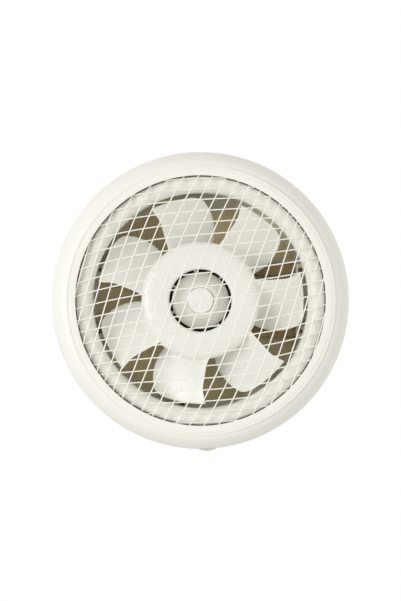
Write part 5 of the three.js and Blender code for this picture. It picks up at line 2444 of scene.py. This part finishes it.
@dataclass(frozen=True)
class MainsParts:
    """Terminal box and capacitor behind the bezel."""

    terminal: Triple = (32.0, 13.0, 9.0)
    capacitor: Triple = (28.0, 11.0, 9.0)
    terminal_edge: float = 0.9
    capacitor_edge: float = 1.6
    capacitor_degrees: float = 222.0
    seam: float = 0.4
    seam_depth: float = 0.7
    seam_share: float = 0.18
    collar_place: float = 4.0
    collar_depth: float = 0.5

    def place(self, size: Triple) -> Triple:
        """Where a box stands at the top, before it is turned.

        Args:
            size: Its size.

        Returns:
            Its middle.
        """
        lay = LAYOUT
        inner = lay.rim_outer + lay.wall + 2 * lay.gap
        return 0, lay.frame_front - lay.gap - size[1] / 2, inner + size[2] / 2

    def build(self) -> None:
        """Make both boxes."""
        x, y, z = self.place(self.terminal)
        long, tall, deep = self.terminal
        box = block(self.terminal, (x, y, z), self.terminal_edge)
        y -= tall * self.seam_share
        seam = block((long + PAST, self.seam, deep + PAST), (x, y, z), 0)
        core = block((long - self.seam_depth, 3 * self.seam, deep - self.seam_depth), (x, y, z), 0)
        shape = together(box.cut_by(seam), core).turned(LAYOUT.lead_degrees)
        piece(shape, "terminals", ["terminal_box"], Finishes.case)
        x, y, z = self.place(self.capacitor)
        long, tall, deep = self.capacitor
        can = block(self.capacitor, (x, y, z), self.capacitor_edge)
        x += long / 2 - self.collar_place
        sunk = self.collar_depth
        groove = block((sunk, tall + PAST, deep + PAST), (x, y, z), 0)
        neck = block((3 * sunk, tall - sunk, deep - sunk), (x, y, z), 0)
        shape = together(can.cut_by(groove), neck).turned(self.capacitor_degrees)
        piece(shape, "capacitor_can", ["capacitor"], Finishes.lead)


# Studio


@dataclass(frozen=True)
class Lamp:
    """One soft lamp."""

    name: str
    place: Triple
    size: float
    power: float
    color: Color = (1.0, 1.0, 1.0)

    def build(self) -> None:
        """Add the lamp, aimed at the fan."""
        data = bpy.data.lights.new(self.name, "AREA")
        data.size = self.size
        data.energy = self.power
        data.color = self.color
        obj = bpy.data.objects.new(self.name, data)
        obj.location = self.place
        obj.rotation_euler = (-Vector(self.place)).to_track_quat("-Z", "Y").to_euler()
        bpy.context.scene.collection.objects.link(obj)


@dataclass(frozen=True)
class Studio:
    """Floor, world, lamps and camera."""

    floor_height: float = -3.4
    floor_half: float = 30.0
    floor_color: Color = (0.8, 0.8, 0.79)
    floor_white: float = 0.9
    ambient: float = 0.68
    tone: Color = (1.0, 0.985, 0.945)
    camera_distance: float = 3.349
    lens: float = 200.0
    clip_end: float = 50.0
    lamps: tuple[Lamp, ...] = (
        Lamp("key", (-2.35, -2.25, 0.05), 1.4, 49.0, (0.975, 0.985, 1.0)),
        Lamp("fill", (2.7, -1.7, -0.85), 1.8, 18.5, (1.0, 0.99, 0.95)),
    )

    def seen(self, tree: NodeTree) -> Any:
        """Add a mask of the rays that see the backdrop.

        Args:
            tree: The tree to add it to.

        Returns:
            The mask's socket.
        """
        path = tree.add("ShaderNodeLightPath").outputs
        some = tree.math("MAXIMUM", path["Is Camera Ray"], path["Is Glossy Ray"])
        return tree.math("MAXIMUM", some, path["Is Transmission Ray"])

    def world(self) -> None:
        """Make a world that lights plainly and shows white."""
        world = bpy.data.worlds.new("studio")
        world.use_nodes = True
        world.node_tree.nodes.clear()
        tree = NodeTree(world.node_tree)
        light = tree.add("ShaderNodeBackground", {"Color": (*self.tone, 1), "Strength": self.ambient})
        white = tree.add("ShaderNodeBackground", {"Color": (1, 1, 1, 1), "Strength": 1.0})
        shaders = {0: self.seen(tree), 1: light.outputs[0], 2: white.outputs[0]}
        mix = tree.add("ShaderNodeMixShader", shaders)
        tree.add("ShaderNodeOutputWorld", {"Surface": mix.outputs[0]})
        bpy.context.scene.world = world

    def floor(self) -> None:
        """Make a pale floor that keeps the fan's shadow."""
        half = self.floor_half
        mesh = bpy.data.meshes.new("floor")
        corners = [(-half, -half), (half, -half), (half, half), (-half, half)]
        mesh.from_pydata([(x, y, self.floor_height) for x, y in corners], [], [(0, 1, 2, 3)])
        material = bpy.data.materials.new("floor")
        material.use_nodes = True
        material.node_tree.nodes.clear()
        tree = NodeTree(material.node_tree)
        matte = tree.add("ShaderNodeBsdfDiffuse", {"Color": (*self.floor_color, 1)})
        white = tree.add("ShaderNodeEmission", {"Color": (1, 1, 1, 1), "Strength": 1.0})
        share = tree.math("MULTIPLY", self.seen(tree), self.floor_white)
        mix = tree.add("ShaderNodeMixShader", {0: share, 1: matte.outputs[0], 2: white.outputs[0]})
        tree.add("ShaderNodeOutputMaterial", {"Surface": mix.outputs[0]})
        mesh.materials.append(material)
        obj = bpy.data.objects.new("floor", mesh)
        bpy.context.scene.collection.objects.link(obj)

    def camera(self) -> None:
        """Add the camera, straight in front of the fan."""
        data = bpy.data.cameras.new("camera")
        data.lens = self.lens
        data.clip_end = self.clip_end
        obj = bpy.data.objects.new("camera", data)
        obj.location = (0, -self.camera_distance, 0)
        obj.rotation_euler = (math.pi / 2, 0, 0)
        bpy.context.scene.collection.objects.link(obj)
        bpy.context.scene.camera = obj

    def build(self) -> None:
        """Make the studio."""
        bpy.context.scene.view_settings.view_transform = "Standard"
        self.world()
        self.floor()
        for lamp in self.lamps:
            lamp.build()
        self.camera()


def main() -> None:
    """Make the studio and every piece of the fan."""
    Studio().build()
    shutters, rails, hood, motor = Shutters(), MotorRails(), Hood(), Motor()
    for part in (FrontBezel(), WireGuard(), AirMouth(), Impeller(), SpinnerNut()):
        part.build()
    IndoorFrame().build()
    Gaskets().build()
    OutdoorFrame().build(shutters, rails)
    for part in (shutters, hood, motor, rails):
        part.build()
    Screws().build(rails, hood, motor.wall)
    for part in (MainsParts(), Lead(), Inlet()):
        part.build()


if __name__ == "__main__":
    main()
